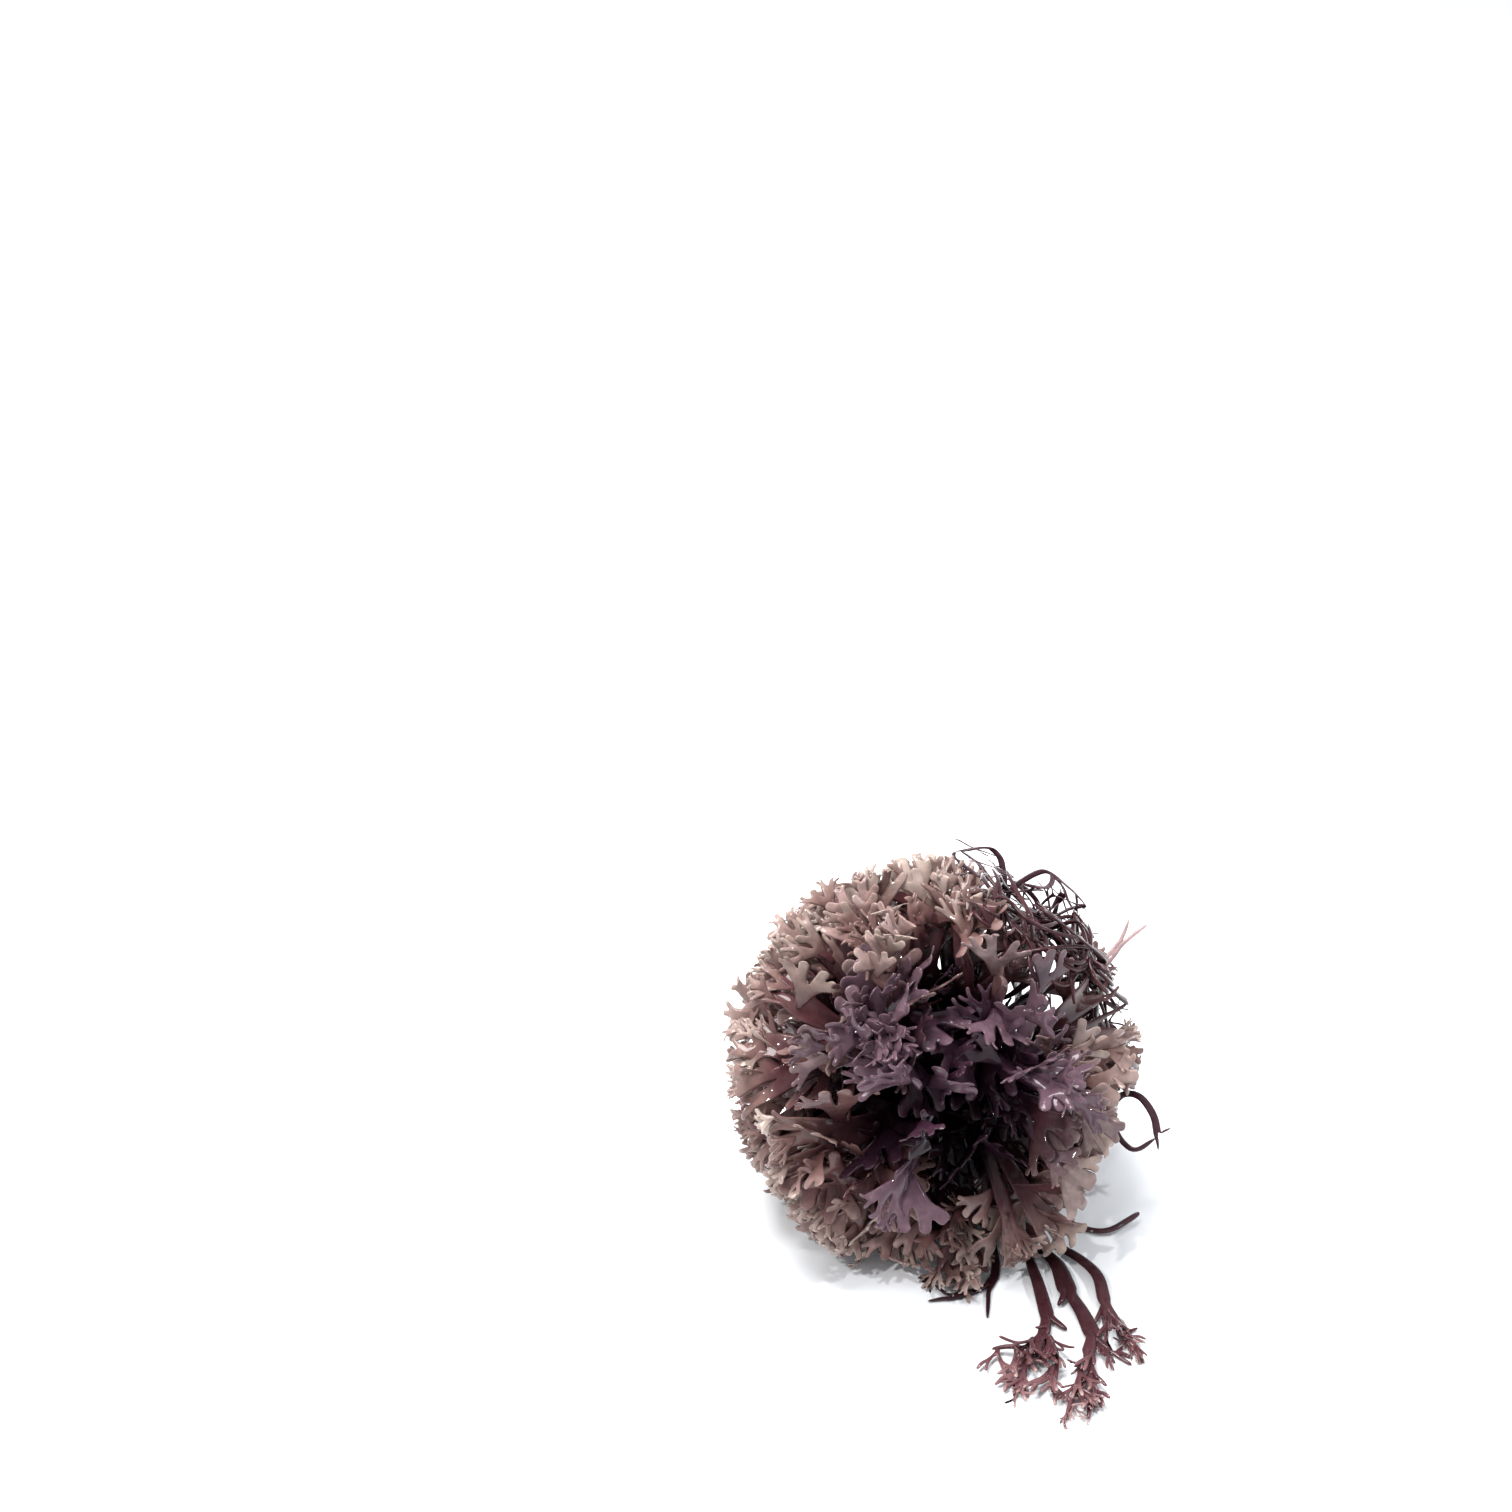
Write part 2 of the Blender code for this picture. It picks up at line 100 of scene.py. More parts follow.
# The skin of the fronds
# Every blade is one thin wet skin: dark maroon low down, partly its own colour and partly painted
# shade where little light gets to it, reddish in the middle and beige at the finger tips, and
# violet all over round the open crown. Far inside the tuft a painted shade darkens it further.
BALL_CENTRE = Vector((-4.0, 0.0, 44.0))
# Painted shade: within these distances of the ball's middle, in metres, the skin darkens to this
# tint.
PAINTED_SHADE_DEPTHS = (0.019, 0.047)
PAINTED_SHADE_TINT = (0.13, 0.06, 0.09, 1.0)
WET = {
    "IOR": 1.42,
    "Specular IOR Level": 0.05,
    "Coat Roughness": 0.06,
    "Coat IOR": 1.36,
    "Subsurface Weight": 0.12,
    "Subsurface Radius": (1.0, 0.55, 0.45),
    "Subsurface Scale": 0.0008,
}
YOUNG_START = 0.80
YOUNG_GAIN = 0.32
CROWN_LIFT = 0.24
BROWN_CAST = (0.80, 0.66, 0.70, 1.0)
SPECKS = {"Scale": 420.0, "Detail": 3.0}
CLOUDS = {"Scale": 75.0, "Detail": 2.0}
TINT_SHIFT = 0.20
TINT_TO_BROWN = 3.7
VIOLET_WANDER = 0.5
VIOLET_EDGE = (0.25, 0.75)
SPECK_EDGE = (0.30, 0.75)
SPECK_DARKEST = 0.84
SPECK_GAIN = 0.30
DULL = 0.44
DULL_SPECKS = 0.24
DULL_LESS_IN_LIGHT = 0.26
RELIEF_HEIGHT = 0.0006
RELIEF_SPECKS = 0.4
# Colours from base to tip; the near-black low end is partly painted shade.
PALE_STOPS = [
    (0.0, (0.006, 0.002, 0.004)),
    (0.42, (0.030, 0.009, 0.012)),
    (0.62, (0.085, 0.033, 0.036)),
    (0.80, (0.195, 0.122, 0.106)),
    (1.0, (0.410, 0.330, 0.285)),
]
VIOLET_STOPS = [
    (0.0, (0.003, 0.001, 0.003)),
    (0.45, (0.012, 0.004, 0.008)),
    (0.72, (0.032, 0.012, 0.022)),
    (0.90, (0.058, 0.026, 0.041)),
    (1.0, (0.112, 0.064, 0.082)),
]


class Shade:
    """A shader socket that can be used in sums and products."""

    def __init__(self, tree, socket):
        self.tree = tree
        self.socket = socket

    def maths(self, operation, *values):
        return node(self.tree, "ShaderNodeMath", {"operation": operation}, dict(enumerate(values)))

    def __add__(self, other):
        return self.maths("ADD", self, other)

    __radd__ = __add__

    def __sub__(self, other):
        return self.maths("SUBTRACT", self, other)

    def __rsub__(self, other):
        return self.maths("SUBTRACT", other, self)

    def __mul__(self, other):
        return self.maths("MULTIPLY", self, other)

    __rmul__ = __mul__

    def clamped(self):
        return node(self.tree, "ShaderNodeClamp", {}, {"Value": self})

    def fraction(self):
        return self.maths("FRACT", self)

    def between(self, low, high):
        """0 below low, 1 above high, smooth in between."""
        settings = {"interpolation_type": "SMOOTHSTEP"}
        return node(self.tree, "ShaderNodeMapRange", settings, {"Value": self, 1: low, 2: high})


def node(tree, kind, settings, inputs, output=0):
    """Add one node: its settings first, then the values or links of its sockets."""
    made = tree.nodes.new(kind)
    for name, value in settings.items():
        if name == "stops":
            while len(made.color_ramp.elements) < len(value):
                made.color_ramp.elements.new(1.0)
            for element, (position, colour) in zip(made.color_ramp.elements, value):
                element.position = position
                element.color = (*colour, 1.0)
        else:
            setattr(made, name, value)
    for name, value in inputs.items():
        if isinstance(value, Shade):
            tree.links.new(value.socket, made.inputs[name])
        else:
            made.inputs[name].default_value = value
    return Shade(tree, made.outputs[output])


def mix_colours(tree, factor, a, b, blend="MIX"):
    settings = {"data_type": "RGBA", "blend_type": blend}
    inputs = {0: factor, 6: a, 7: b}
    return node(tree, "ShaderNodeMix", settings, inputs, output=2)


def attribute(tree, name):
    return node(tree, "ShaderNodeAttribute", {"attribute_name": name}, {}, output=2)


def wet_skin(name, stops, violet_stops=None, settings=WET, blotch=0.30, bump=0.20, gloss=0.9):
    """A thin wet skin whose colour runs from the base of a frond to its tips, with painted shade
    inside the tuft.
    """
    material = bpy.data.materials.new(name)
    material.use_nodes = True
    tree = material.node_tree
    shader = tree.nodes["Principled BSDF"]
    place = node(tree, "ShaderNodeTexCoord", {}, {}, output=3)
    fine = node(tree, "ShaderNodeTexNoise", {}, {"Vector": place, **SPECKS})
    broad = node(tree, "ShaderNodeTexNoise", {}, {"Vector": place, **CLOUDS})
    reach = attribute(tree, "reach")
    tint = attribute(tree, "tint")
    young = attribute(tree, "young")
    crown = attribute(tree, "violet")
    # Darker towards the base of each blade and young frond: partly their own colour, partly painted
    # shade between the fronds.
    grown = reach * YOUNG_START + young * YOUNG_GAIN + reach * crown * CROWN_LIFT
    along = (grown + (broad - 0.5) * blotch + (tint - 0.5) * TINT_SHIFT).clamped()
    colour = node(tree, "ShaderNodeValToRGB", {"stops": stops}, {0: along})
    if violet_stops:
        brown = mix_colours(tree, 1.0, colour, BROWN_CAST, blend="MULTIPLY")
        colour = mix_colours(tree, (tint * TINT_TO_BROWN).fraction(), colour, brown)
        violet_colour = node(tree, "ShaderNodeValToRGB", {"stops": violet_stops}, {0: along})
        wandering = crown + (broad - 0.5) * VIOLET_WANDER + (tint - 0.5) * VIOLET_WANDER
        colour = mix_colours(tree, wandering.between(*VIOLET_EDGE), colour, violet_colour)
    speck = fine.between(*SPECK_EDGE) * SPECK_GAIN + SPECK_DARKEST
    grey = node(tree, "ShaderNodeCombineColor", {}, {0: speck, 1: speck, 2: speck})
    colour = mix_colours(tree, 1.0, colour, grey, blend="MULTIPLY")
    # Painted shade: nearer the middle of the ball the colour darkens and the wet coat fades.
    middle = tuple((BALL_CENTRE + SHIFT) * MM)
    measure = {"operation": "DISTANCE"}
    depth = node(tree, "ShaderNodeVectorMath", measure, {0: place, 1: middle}, output=1)
    light = depth.between(*PAINTED_SHADE_DEPTHS)
    painted_shade = mix_colours(tree, 1.0, colour, PAINTED_SHADE_TINT, blend="MULTIPLY")
    colour = mix_colours(tree, light, painted_shade, colour)
    tree.links.new(colour.socket, shader.inputs["Base Color"])
    tree.links.new((light * gloss).socket, shader.inputs["Coat Weight"])
    roughness = fine * DULL_SPECKS + DULL - light * DULL_LESS_IN_LIGHT
    tree.links.new(roughness.socket, shader.inputs["Roughness"])
    height = broad + fine * RELIEF_SPECKS
    bumps = {"Strength": bump, "Distance": RELIEF_HEIGHT, "Height": height}
    relief = node(tree, "ShaderNodeBump", {}, bumps)
    tree.links.new(relief.socket, shader.inputs["Normal"])
    for socket, value in settings.items():
        shader.inputs[socket].default_value = value
    return material


frond_skin = wet_skin("frond_skin", PALE_STOPS, VIOLET_STOPS)

# The main fronds
# A flat stalked blade grows from the holdfast, forks again and again into lobes and ends in short
# blunt fingers. Each one keeps to its own place in a spiral round the open axis of the rosette.
BALL_RADIUS = 59.0
STALK_START = 8.9
STALK_OVERLAP = 0.3
FLOOR_CLEARANCE = 0.6
OPEN_ELEVATION = math.radians(27.0)
OPEN_AZIMUTH = math.radians(3.0)
OPEN_AXIS = Vector((
    math.sin(OPEN_AZIMUTH) * math.cos(OPEN_ELEVATION),
    -math.cos(OPEN_AZIMUTH) * math.cos(OPEN_ELEVATION),
    math.sin(OPEN_ELEVATION),
))
PLACES = 56
SEED = 41
RECURVE_ALL = 0.22
RECURVE_FRONT = 0.30
INNER_REACH = 0.84
INNER_REACH_ANGLE = math.radians(75.0)
SAG = 5.0
FLOOR_SOFTNESS = 1.2
FLOOR_SPREAD = 0.7
SPREAD = 0.34
NARROWER = {7: 0.19, 10: 0.31, 17: 0.19, 26: 0.19, 31: 0.28, 49: 0.31, 53: 0.31}
SHORTER = {14: 0.84, 20: 0.87, 51: 0.80}
STALK_HALF = 1.25
FLARE_LOW = 0.45
FLARE_LOW_INNER = 0.85
INNER_ANGLE = math.radians(50.0)
FLARE_POWER = 2.6
FORK_SHARE_EARLY = (0.44, 0.78, 0.89, 1.0)
FORK_SHARE_LATE = (0.58, 0.82, 0.90, 1.0)
FORK_HALF = (4.6, 6.2, 3.1, 0.85)
FILL = 0.94
ROLL = (0.35, 0.75, 0.5, 0.5)
FINGER_LEVEL = 3
FORK_CHANCE = (1.0, 1.0, 0.86)
SHORTEST_BRANCH = 3.0
TWIST = math.radians(38.0)
TWIST_ON_FLOOR = math.radians(12.0)
FACE_UP_FROM = 0.15
FACE_UP_OVER = 0.45
REACH_VARIES = (0.85, 1.04)
FORK_VARIES = (0.80, 1.12)
TIP_VARIES = (0.80, 1.05)
SPLIT_VARIES = (0.40, 0.60)

NET_AXIS = Vector((0.50, 0.15, 0.853)).normalized()
NET_NEAR = math.radians(24.0)
NET_FAR = math.radians(29.0)
CURLS_AXIS = Vector((0.877, 0.0, 0.48)).normalized()
CURLS_NEAR = math.radians(9.0)
CURLS_FAR = math.radians(14.0)
HOLLOW_AXIS = Vector((-0.01, -0.977, 0.20)).normalized()
HOLLOW_NEAR = math.radians(11.0)
HOLLOW_FAR = math.radians(18.0)
SLIM = 0.74
FINE_ROWS = (6, 4, 3, 4)
FINGER_HALF = 1.15
FINGER_FORK_CHANCE = 0.55
FINGER_FORK_AT = 0.62
FINGER_WIDENS = 1.25
FINGER_SLIMS = 1.6
FINGERTIP_LONGER = (-0.4, 1.0)
FINGERTIP_APART = 1.15
FINGERTIP_HALF = 0.62
SINUS = 1.3
SINUS_SHARE = 0.6
SHALLOWEST = 0.1
SWELL = 1.3
CHANNEL = 0.16
RUFFLE = 1.3
RUFFLES_ACROSS = 9.0
RUFFLES_ALONG = 0.16
CURL = 2.2


def share_between(value, low, high):
    """0 at low, 1 at high, and straight in between."""
    return min(max((value - low) / (high - low), 0.0), 1.0)


def settle(p):
    """Bend a point of the straight rosette: recurve, sag, and lie down on the floor."""
    reach = p.length
    forward = p.dot(OPEN_AXIS)
    outward = p - OPEN_AXIS * forward
    angle = math.atan2(outward.length, forward)
    bend = RECURVE_ALL * math.sin(angle) + RECURVE_FRONT * max(math.sin(2.0 * angle), 0.0)
    angle += bend * (reach / BALL_RADIUS) ** 2
    q = OPEN_AXIS * (reach * math.cos(angle))
    if outward.length > 0.0:
        q += outward.normalized() * (reach * math.sin(angle))
    run = max(math.hypot(q.x, q.y), 1.0)
    z = HOLDFAST_CENTRE.z + q.z - SAG * (run / BALL_RADIUS) ** 2
    rest_z = 0.5 * (z + math.sqrt(z * z + 4.0 * FLOOR_SOFTNESS ** 2))
    push = 1.0 + FLOOR_SPREAD * (rest_z - z) / run
    return Vector((
        HOLDFAST_CENTRE.x + q.x * push,
        HOLDFAST_CENTRE.y + q.y * push,
        max(rest_z, FLOOR_CLEARANCE),
    ))


def reach_to_ball(direction):
    """Distance from the holdfast to the ball that the tips lie on."""
    offset = HOLDFAST_CENTRE - BALL_CENTRE
    b = offset.dot(direction)
    full = -b + math.sqrt(b * b - offset.length_squared + BALL_RADIUS ** 2)
    opened = min(direction.angle(OPEN_AXIS) / INNER_REACH_ANGLE, 1.0)
    return full * (INNER_REACH + (1.0 - INNER_REACH) * opened)


def rosette_directions():
    """Spiral directions around the open axis, as a rosette grows."""
    side = OPEN_AXIS.cross(Vector((0, 0, 1))).normalized()
    up = side.cross(OPEN_AXIS)
    golden = math.pi * (3.0 - math.sqrt(5.0))
    directions = []
    for i in range(PLACES):
        forward = 1.0 - (2 * i + 1) / PLACES
        ring = math.sqrt(1.0 - forward * forward)
        turn = golden * i
        across = side * (ring * math.cos(turn))
        directions.append(OPEN_AXIS * forward + across + up * (ring * math.sin(turn)))
    return directions


def facing(direction, rng):
    """A petal faces the open axis, and one near the floor faces up."""
    low = min(max((-direction.z - FACE_UP_FROM) / FACE_UP_OVER, 0.0), 1.0)
    wish = OPEN_AXIS * (1.0 - low) + Vector((0, 0, 1)) * low
    face = (wish - direction * wish.dot(direction)).normalized()
    twist = rng.uniform(-1.0, 1.0) * (TWIST + (TWIST_ON_FLOOR - TWIST) * low)
    return Matrix.Rotation(twist, 3, direction) @ face


class Sheet:
    """The middle surface of a blade: points with their reach, and faces."""

    def __init__(self):
        self.points = []
        self.reach = []
        self.faces = []

    def add(self, point, reach):
        self.points.append(point)
        self.reach.append(reach)
        return len(self.points) - 1


class Frond:
    """Where one frond points, which way it faces, and how it is built."""

    def __init__(self, index, direction):
        self.rng = random.Random(SEED * 1000 + index)
        self.fine = random.Random(SEED * 2000 + index)
        self.phase = self.fine.uniform(0.0, 6.28)
        self.along = direction
        self.face = facing(direction, self.rng)
        self.side = direction.cross(self.face)
        varied = reach_to_ball(direction) * self.rng.uniform(*REACH_VARIES)
        self.reach = varied * SHORTER.get(index, 1.0)
        inner = max(1.0 - direction.angle(OPEN_AXIS) / INNER_ANGLE, 0.0)
        self.late = max(self.rng.random() ** 1.5, min(inner * 2.0, 1.0))
        self.flare_low = FLARE_LOW + (FLARE_LOW_INNER - FLARE_LOW) * inner

    def flare(self, r):
        """Fronds stay slender low down and splay towards their tips."""
        return self.flare_low + (1.0 - self.flare_low) * min(r / self.reach, 1.0) ** FLARE_POWER

    def place(self, r, across, out):
        flare = self.flare(r)
        direction = self.along + self.side * (across * flare) + self.face * (out * flare)
        return settle(direction.normalized() * r)

    def share(self, r):
        return share_between(r, STALK_START, self.reach)

    def fork_radius(self, level):
        share = FORK_SHARE_EARLY[level] * (1 - self.late) + FORK_SHARE_LATE[level] * self.late
        start = STALK_START - STALK_OVERLAP
        return start + (self.reach - STALK_START + STALK_OVERLAP) * share


def outside_net(point):
    """0 in the net at the shoulder of the rosette and in its curls, 1 where it is leafy."""
    way = point - HOLDFAST_CENTRE
    return min(share_between(way.angle(NET_AXIS, 0.0), NET_NEAR, NET_FAR),
               share_between(way.angle(CURLS_AXIS, 0.0), CURLS_NEAR, CURLS_FAR))


def outside_hollow(point):
    """0 in the hollow below the open crown, 1 outside it."""
    return share_between((point - HOLDFAST_CENTRE).angle(HOLLOW_AXIS, 0.0), HOLLOW_NEAR, HOLLOW_FAR)


def ruffle(frond, r, x, y):
    """How far a margin is thrown out of the blade, in millimetres."""
    p = Vector((x * RUFFLES_ACROSS + frond.phase, y * RUFFLES_ACROSS, r * RUFFLES_ALONG))
    return RUFFLE * noise.noise(p) * frond.share(r) ** 1.5 * 2.0


def blade_row(sheet, frond, r, x, y, half, roll, bend):
    """Three points across a blade: margins ruffled, the middle a shallow channel."""
    scale = r * frond.flare(r)
    half *= 1.0 - SLIM + SLIM * outside_net(frond.place(r, x, y))
    across = (math.cos(roll), math.sin(roll))
    out = (-math.sin(roll), math.cos(roll))
    made = []
    for step in (-1.0, 0.0, 1.0):
        lift = bend + (CHANNEL * half if step else -CHANNEL * half)
        px = x + across[0] * step * half / scale
        py = y + across[1] * step * half / scale
        if step:
            lift += ruffle(frond, r, px, py)
        px += out[0] * lift / scale
        py += out[1] * lift / scale
        made.append(sheet.add(frond.place(r, px, py), frond.share(r)))
    return made


def join_rows(sheet, before, after):
    left, middle, right = before
    sheet.faces.append((left, middle, after[1], after[0]))
    sheet.faces.append((middle, right, after[2], after[1]))


def finger(sheet, frond, before, base, tip, level):
    """A blunt finger, which may fork once more near its end."""
    r0, x0, y0, half0, roll = base
    r1, x1, y1, half1 = tip
    fine = frond.fine
    curl = fine.uniform(-1.0, 1.0) * CURL
    forks = level == FINGER_LEVEL and fine.random() < FINGER_FORK_CHANCE
    rows = FINE_ROWS[FINGER_LEVEL]
    stop = FINGER_FORK_AT if forks else 1.0
    widen = FINGER_WIDENS if forks else 1.0
    for row in range(1, rows):
        t = row / (rows - 1) * stop
        half = half0 + (half1 - half0) * min(t * FINGER_SLIMS, 1.0)
        half *= 1.0 + (widen - 1.0) * t
        r = r0 + (r1 - r0) * t
        x = x0 + (x1 - x0) * t
        y = y0 + (y1 - y0) * t
        after = blade_row(sheet, frond, r, x, y, half, roll, curl * t * t)
        if row == rows - 1 and forks:
            split_row(sheet, before, after)
            break
        join_rows(sheet, before, after)
        before = after
    if not forks:
        return
    scale = r * frond.flare(r)
    for sign, edge in ((-1, sheet.left_edge), (1, sheet.right_edge)):
        start = (r, x0 + (x1 - x0) * stop, y0 + (y1 - y0) * stop, half * 0.5, roll)
        shift = sign * half * FINGERTIP_APART / scale
        end_r = r1 + fine.uniform(*FINGERTIP_LONGER)
        end_x = x1 + shift * math.cos(roll)
        end_y = y1 + shift * math.sin(roll)
        end = (end_r, end_x, end_y, half * FINGERTIP_HALF)
        finger(sheet, frond, edge, start, end, level + 1)


def split_row(sheet, before, after):
    """Split the last row of a branch in two edges of three points each, round a notch."""
    left, notch, right = after
    points = sheet.points
    inner = points[before[1]]
    quarter_left = sheet.add((points[left] + points[notch]) / 2, sheet.reach[left])
    quarter_right = sheet.add((points[right] + points[notch]) / 2, sheet.reach[left])
    depth = max((points[notch] - inner).length, SHALLOWEST)
    points[notch] = points[notch].lerp(inner, min(SINUS / depth, SINUS_SHARE))
    sheet.faces.append((before[0], before[1], notch, quarter_left, left))
    sheet.faces.append((before[1], before[2], right, quarter_right, notch))
    sheet.left_edge = (left, quarter_left, notch)
    sheet.right_edge = (notch, quarter_right, right)


def grow(sheet, frond, before, base, lane, level):
    """Grow one branch from the end row of its parent inside its own lane, then let it fork.

    base is the distance from the holdfast, the place across and out, the half width and the roll.
    lane is the centre and radius of the round share of directions that this branch keeps to.
    """
    r0, x0, y0, half0, roll0 = base
    lane_x, lane_y, lane_radius = lane
    rng = frond.rng
    r1 = r0 + (frond.fork_radius(level) - r0) * rng.uniform(*FORK_VARIES)
    roll1 = roll0 + rng.uniform(-1.0, 1.0) * ROLL[level]
    split = rng.uniform(*SPLIT_VARIES)
    forks = level < FINGER_LEVEL and rng.random() < FORK_CHANCE[level]
    half1 = min(FORK_HALF[level], lane_radius * r1 * frond.flare(r1) * FILL)
    if not forks:
        r1 = r0 + (frond.fork_radius(FINGER_LEVEL) - r0) * rng.uniform(*TIP_VARIES)
        r1 = max(r1, r0 + SHORTEST_BRANCH)
        finger(sheet, frond, before, base, (r1, lane_x, lane_y, FINGER_HALF), level)
        return
    r1 = max(r1, r0 + SHORTEST_BRANCH)
    rows = FINE_ROWS[level]
    for row in range(1, rows + 1):
        t = row / rows
        r = r0 + (r1 - r0) * t
        x = x0 + (lane_x - x0) * t
        y = y0 + (lane_y - y0) * t
        roll = roll0 + (roll1 - roll0) * t
        half = half0 + (half1 - half0) * t ** SWELL
        after = blade_row(sheet, frond, r, x, y, half, roll, 0.0)
        if row < rows:
            join_rows(sheet, before, after)
            before = after
    split_row(sheet, before, after)
    scale = r1 * frond.flare(r1)
    cos = math.cos(roll1)
    sin = math.sin(roll1)
    edges = (sheet.left_edge, sheet.right_edge)
    for sign, share, edge in ((-1, split, edges[0]), (1, 1.0 - split, edges[1])):
        offset = sign * (1.0 - share) * lane_radius
        child_lane = (lane_x + offset * cos, lane_y + offset * sin, lane_radius * share)
        side = sign * half1 * 0.5 / scale
        start = (r1, lane_x + side * cos, lane_y + side * sin, half1 * 0.5, roll1)
        grow(sheet, frond, edge, start, child_lane, level + 1)


def main_frond(index, direction):
    frond = Frond(index, direction)
    sheet = Sheet()
    spread = NARROWER.get(index, SPREAD)
    before = blade_row(sheet, frond, STALK_START, 0.0, 0.0, STALK_HALF, 0.0, 0.0)
    grow(sheet, frond, before, (STALK_START, 0.0, 0.0, STALK_HALF, 0.0), (0.0, 0.0, spread), 0)
    return sheet


# The young fronds
# Small hand-like fronds that sprout from the old blades, each a short stalk, a palm and blunt
# fingers. A few dozen are cut as thin leaves here and grow by the hundred where a blade has light.
class Cut:
    """One kind of young frond: its lengths, half widths, angles and chances of a fork."""

    def __init__(self, lengths, halves, spreads, chances, thickness, curl=1.0):
        self.lengths = lengths
        self.halves = halves
        self.spreads = spreads
        self.chances = chances
        self.thickness = thickness
        self.curl = curl


HAND = Cut((5.0, 3.2, 3.0, 2.4), (3.0, 2.4, 1.15, 0.80), (0.48, 0.42, 0.38), (1.0, 1.0, 0.70), 0.65)
BROAD = Cut((6.4, 4.4, 3.2, 2.4), (4.4, 3.7, 1.8, 1.0), (0.50, 0.44, 0.38), (1.0, 1.0, 0.5), 0.65)
CROWN = Cut((7.6, 4.2, 2.2, 1.3), (3.8, 3.2, 1.6, 0.9), (0.52, 0.42, 0.36), (1.0, 0.85, 0.3), 0.5)
TASSEL = Cut((4.0, 4.6, 4.4), (1.30, 1.15, 0.95), (0.34, 0.28), (1.0, 0.8), 0.95, curl=1.5)
WIRE_TWIG_CUT = Cut((7.0, 8.0, 5.5), (0.62, 0.52, 0.40), (0.50, 0.50), (1.0, 0.6), 0.85, curl=2.6)
STALK_FOOT = 0.6
TIP_SHARE = 0.55
YOUNG_ROWS = 2
YOUNG_LENGTH_VARIES = (0.8, 1.2)
YOUNG_WIDTH_VARIES = (0.85, 1.15)
YOUNG_SPREAD_VARIES = (0.75, 1.25)
YOUNG_NOTCH = 0.9
YOUNG_BEND = 0.30
YOUNG_CURL = 1.1
YOUNG_WAVES = 0.28
YOUNG_WAVE_HEIGHT = 1.6
ROUNDING = 1


def young_branch(sheet, edge, start, heading, half, level, cut, rng):
    """One branch of a young frond in its own plane, and the branches after its fork."""
    length = cut.lengths[level] * rng.uniform(*YOUNG_LENGTH_VARIES)
    end_half = cut.halves[level] * rng.uniform(*YOUNG_WIDTH_VARIES)
    forks = level < len(cut.spreads) and rng.random() < cut.chances[level]
    bend = rng.uniform(-YOUNG_BEND, YOUNG_BEND) * cut.curl
    place = start
    left, right = edge
    for row in range(1, YOUNG_ROWS + 1):
        t = row / YOUNG_ROWS
        heading += bend / YOUNG_ROWS
        place = place + Vector((math.sin(heading), math.cos(heading))) * (length / YOUNG_ROWS)
        width = half + (end_half - half) * t
        if row == YOUNG_ROWS and not forks:
            width *= TIP_SHARE
        across = Vector((math.cos(heading), -math.sin(heading))) * width
        new_left = sheet.add(place - across, place.y)
        new_right = sheet.add(place + across, place.y)
        if row == YOUNG_ROWS and forks:
            back = Vector((math.sin(heading), math.cos(heading))) * YOUNG_NOTCH
            notch = sheet.add(place - back, place.y)
            sheet.faces.append((left, right, new_right, notch, new_left))
        else:
            sheet.faces.append((left, right, new_right, new_left))
        left, right = new_left, new_right
    if not forks:
        return
    spread = cut.spreads[level] * rng.uniform(*YOUNG_SPREAD_VARIES)
    for sign, pair in ((-1, (left, notch)), (1, (notch, right))):
        middle = place + across * (sign * 0.5)
        young_branch(sheet, pair, middle, heading + sign * spread, width * 0.5, level + 1, cut, rng)


def young_frond(name, cut, rng, collection):
    """A thin closed leaf that grows up its own Z axis and faces along its own Y axis."""
    sheet = Sheet()
    edge = (sheet.add(Vector((-STALK_FOOT, 0.0)), 0.0), sheet.add(Vector((STALK_FOOT, 0.0)), 0.0))
    young_branch(sheet, edge, Vector((0.0, 0.0)), 0.0, STALK_FOOT, 0, cut, rng)
    full = max(sheet.reach)
    phase = rng.uniform(0.0, 50.0)
    curl = rng.uniform(-1.0, 1.0) * YOUNG_CURL * cut.curl
    points = []
    for p in sheet.points:
        wave = noise.noise(Vector((p.x * YOUNG_WAVES, p.y * YOUNG_WAVES, phase)))
        throw = wave * YOUNG_WAVE_HEIGHT + curl * (p.y / full) ** 2
        points.append(Vector((p.x, throw, p.y)) * MM)
    mesh = bpy.data.meshes.new(name)
    mesh.from_pydata(points, [], sheet.faces)
    young = mesh.attributes.new("young", "FLOAT", "POINT")
    young.data.foreach_set("value", [r / full for r in sheet.reach])
    leaf = bpy.data.objects.new(name, mesh)
    bpy.context.scene.collection.objects.link(leaf)
    add_thickness(leaf, cut.thickness)
    apply_modifiers(leaf)
    bpy.context.scene.collection.objects.unlink(leaf)
    collection.objects.link(leaf)


def add_thickness(piece, thickness):
    solidify = piece.modifiers.new("thickness", "SOLIDIFY")
    solidify.thickness = thickness * MM
    solidify.offset = 0.0
    rounding = piece.modifiers.new("rounding", "SUBSURF")
    rounding.levels = ROUNDING
    rounding.render_levels = ROUNDING


def apply_modifiers(piece):
    """Turn a piece into the plain smooth mesh that its modifiers make."""
    graph = bpy.context.evaluated_depsgraph_get()
    mesh = bpy.data.meshes.new_from_object(piece.evaluated_get(graph))
    piece.modifiers.clear()
    piece.data = mesh
    mesh.name = piece.name
    mesh.shade_smooth()


def young_fronds(name, count, kinds, seed):
    """A collection of young fronds of the given cuts, taken in turn."""
    collection = bpy.data.collections.new(name)
    rng = random.Random(seed)
    for number in range(count):
        young_frond("%s_%02d" % (name, number), kinds[number % len(kinds)], rng, collection)
    return collection


RANDOM_SOCKETS = {"FLOAT_VECTOR": (0, 1, 0), "FLOAT": (2, 3, 1), "INT": (4, 5, 2)}


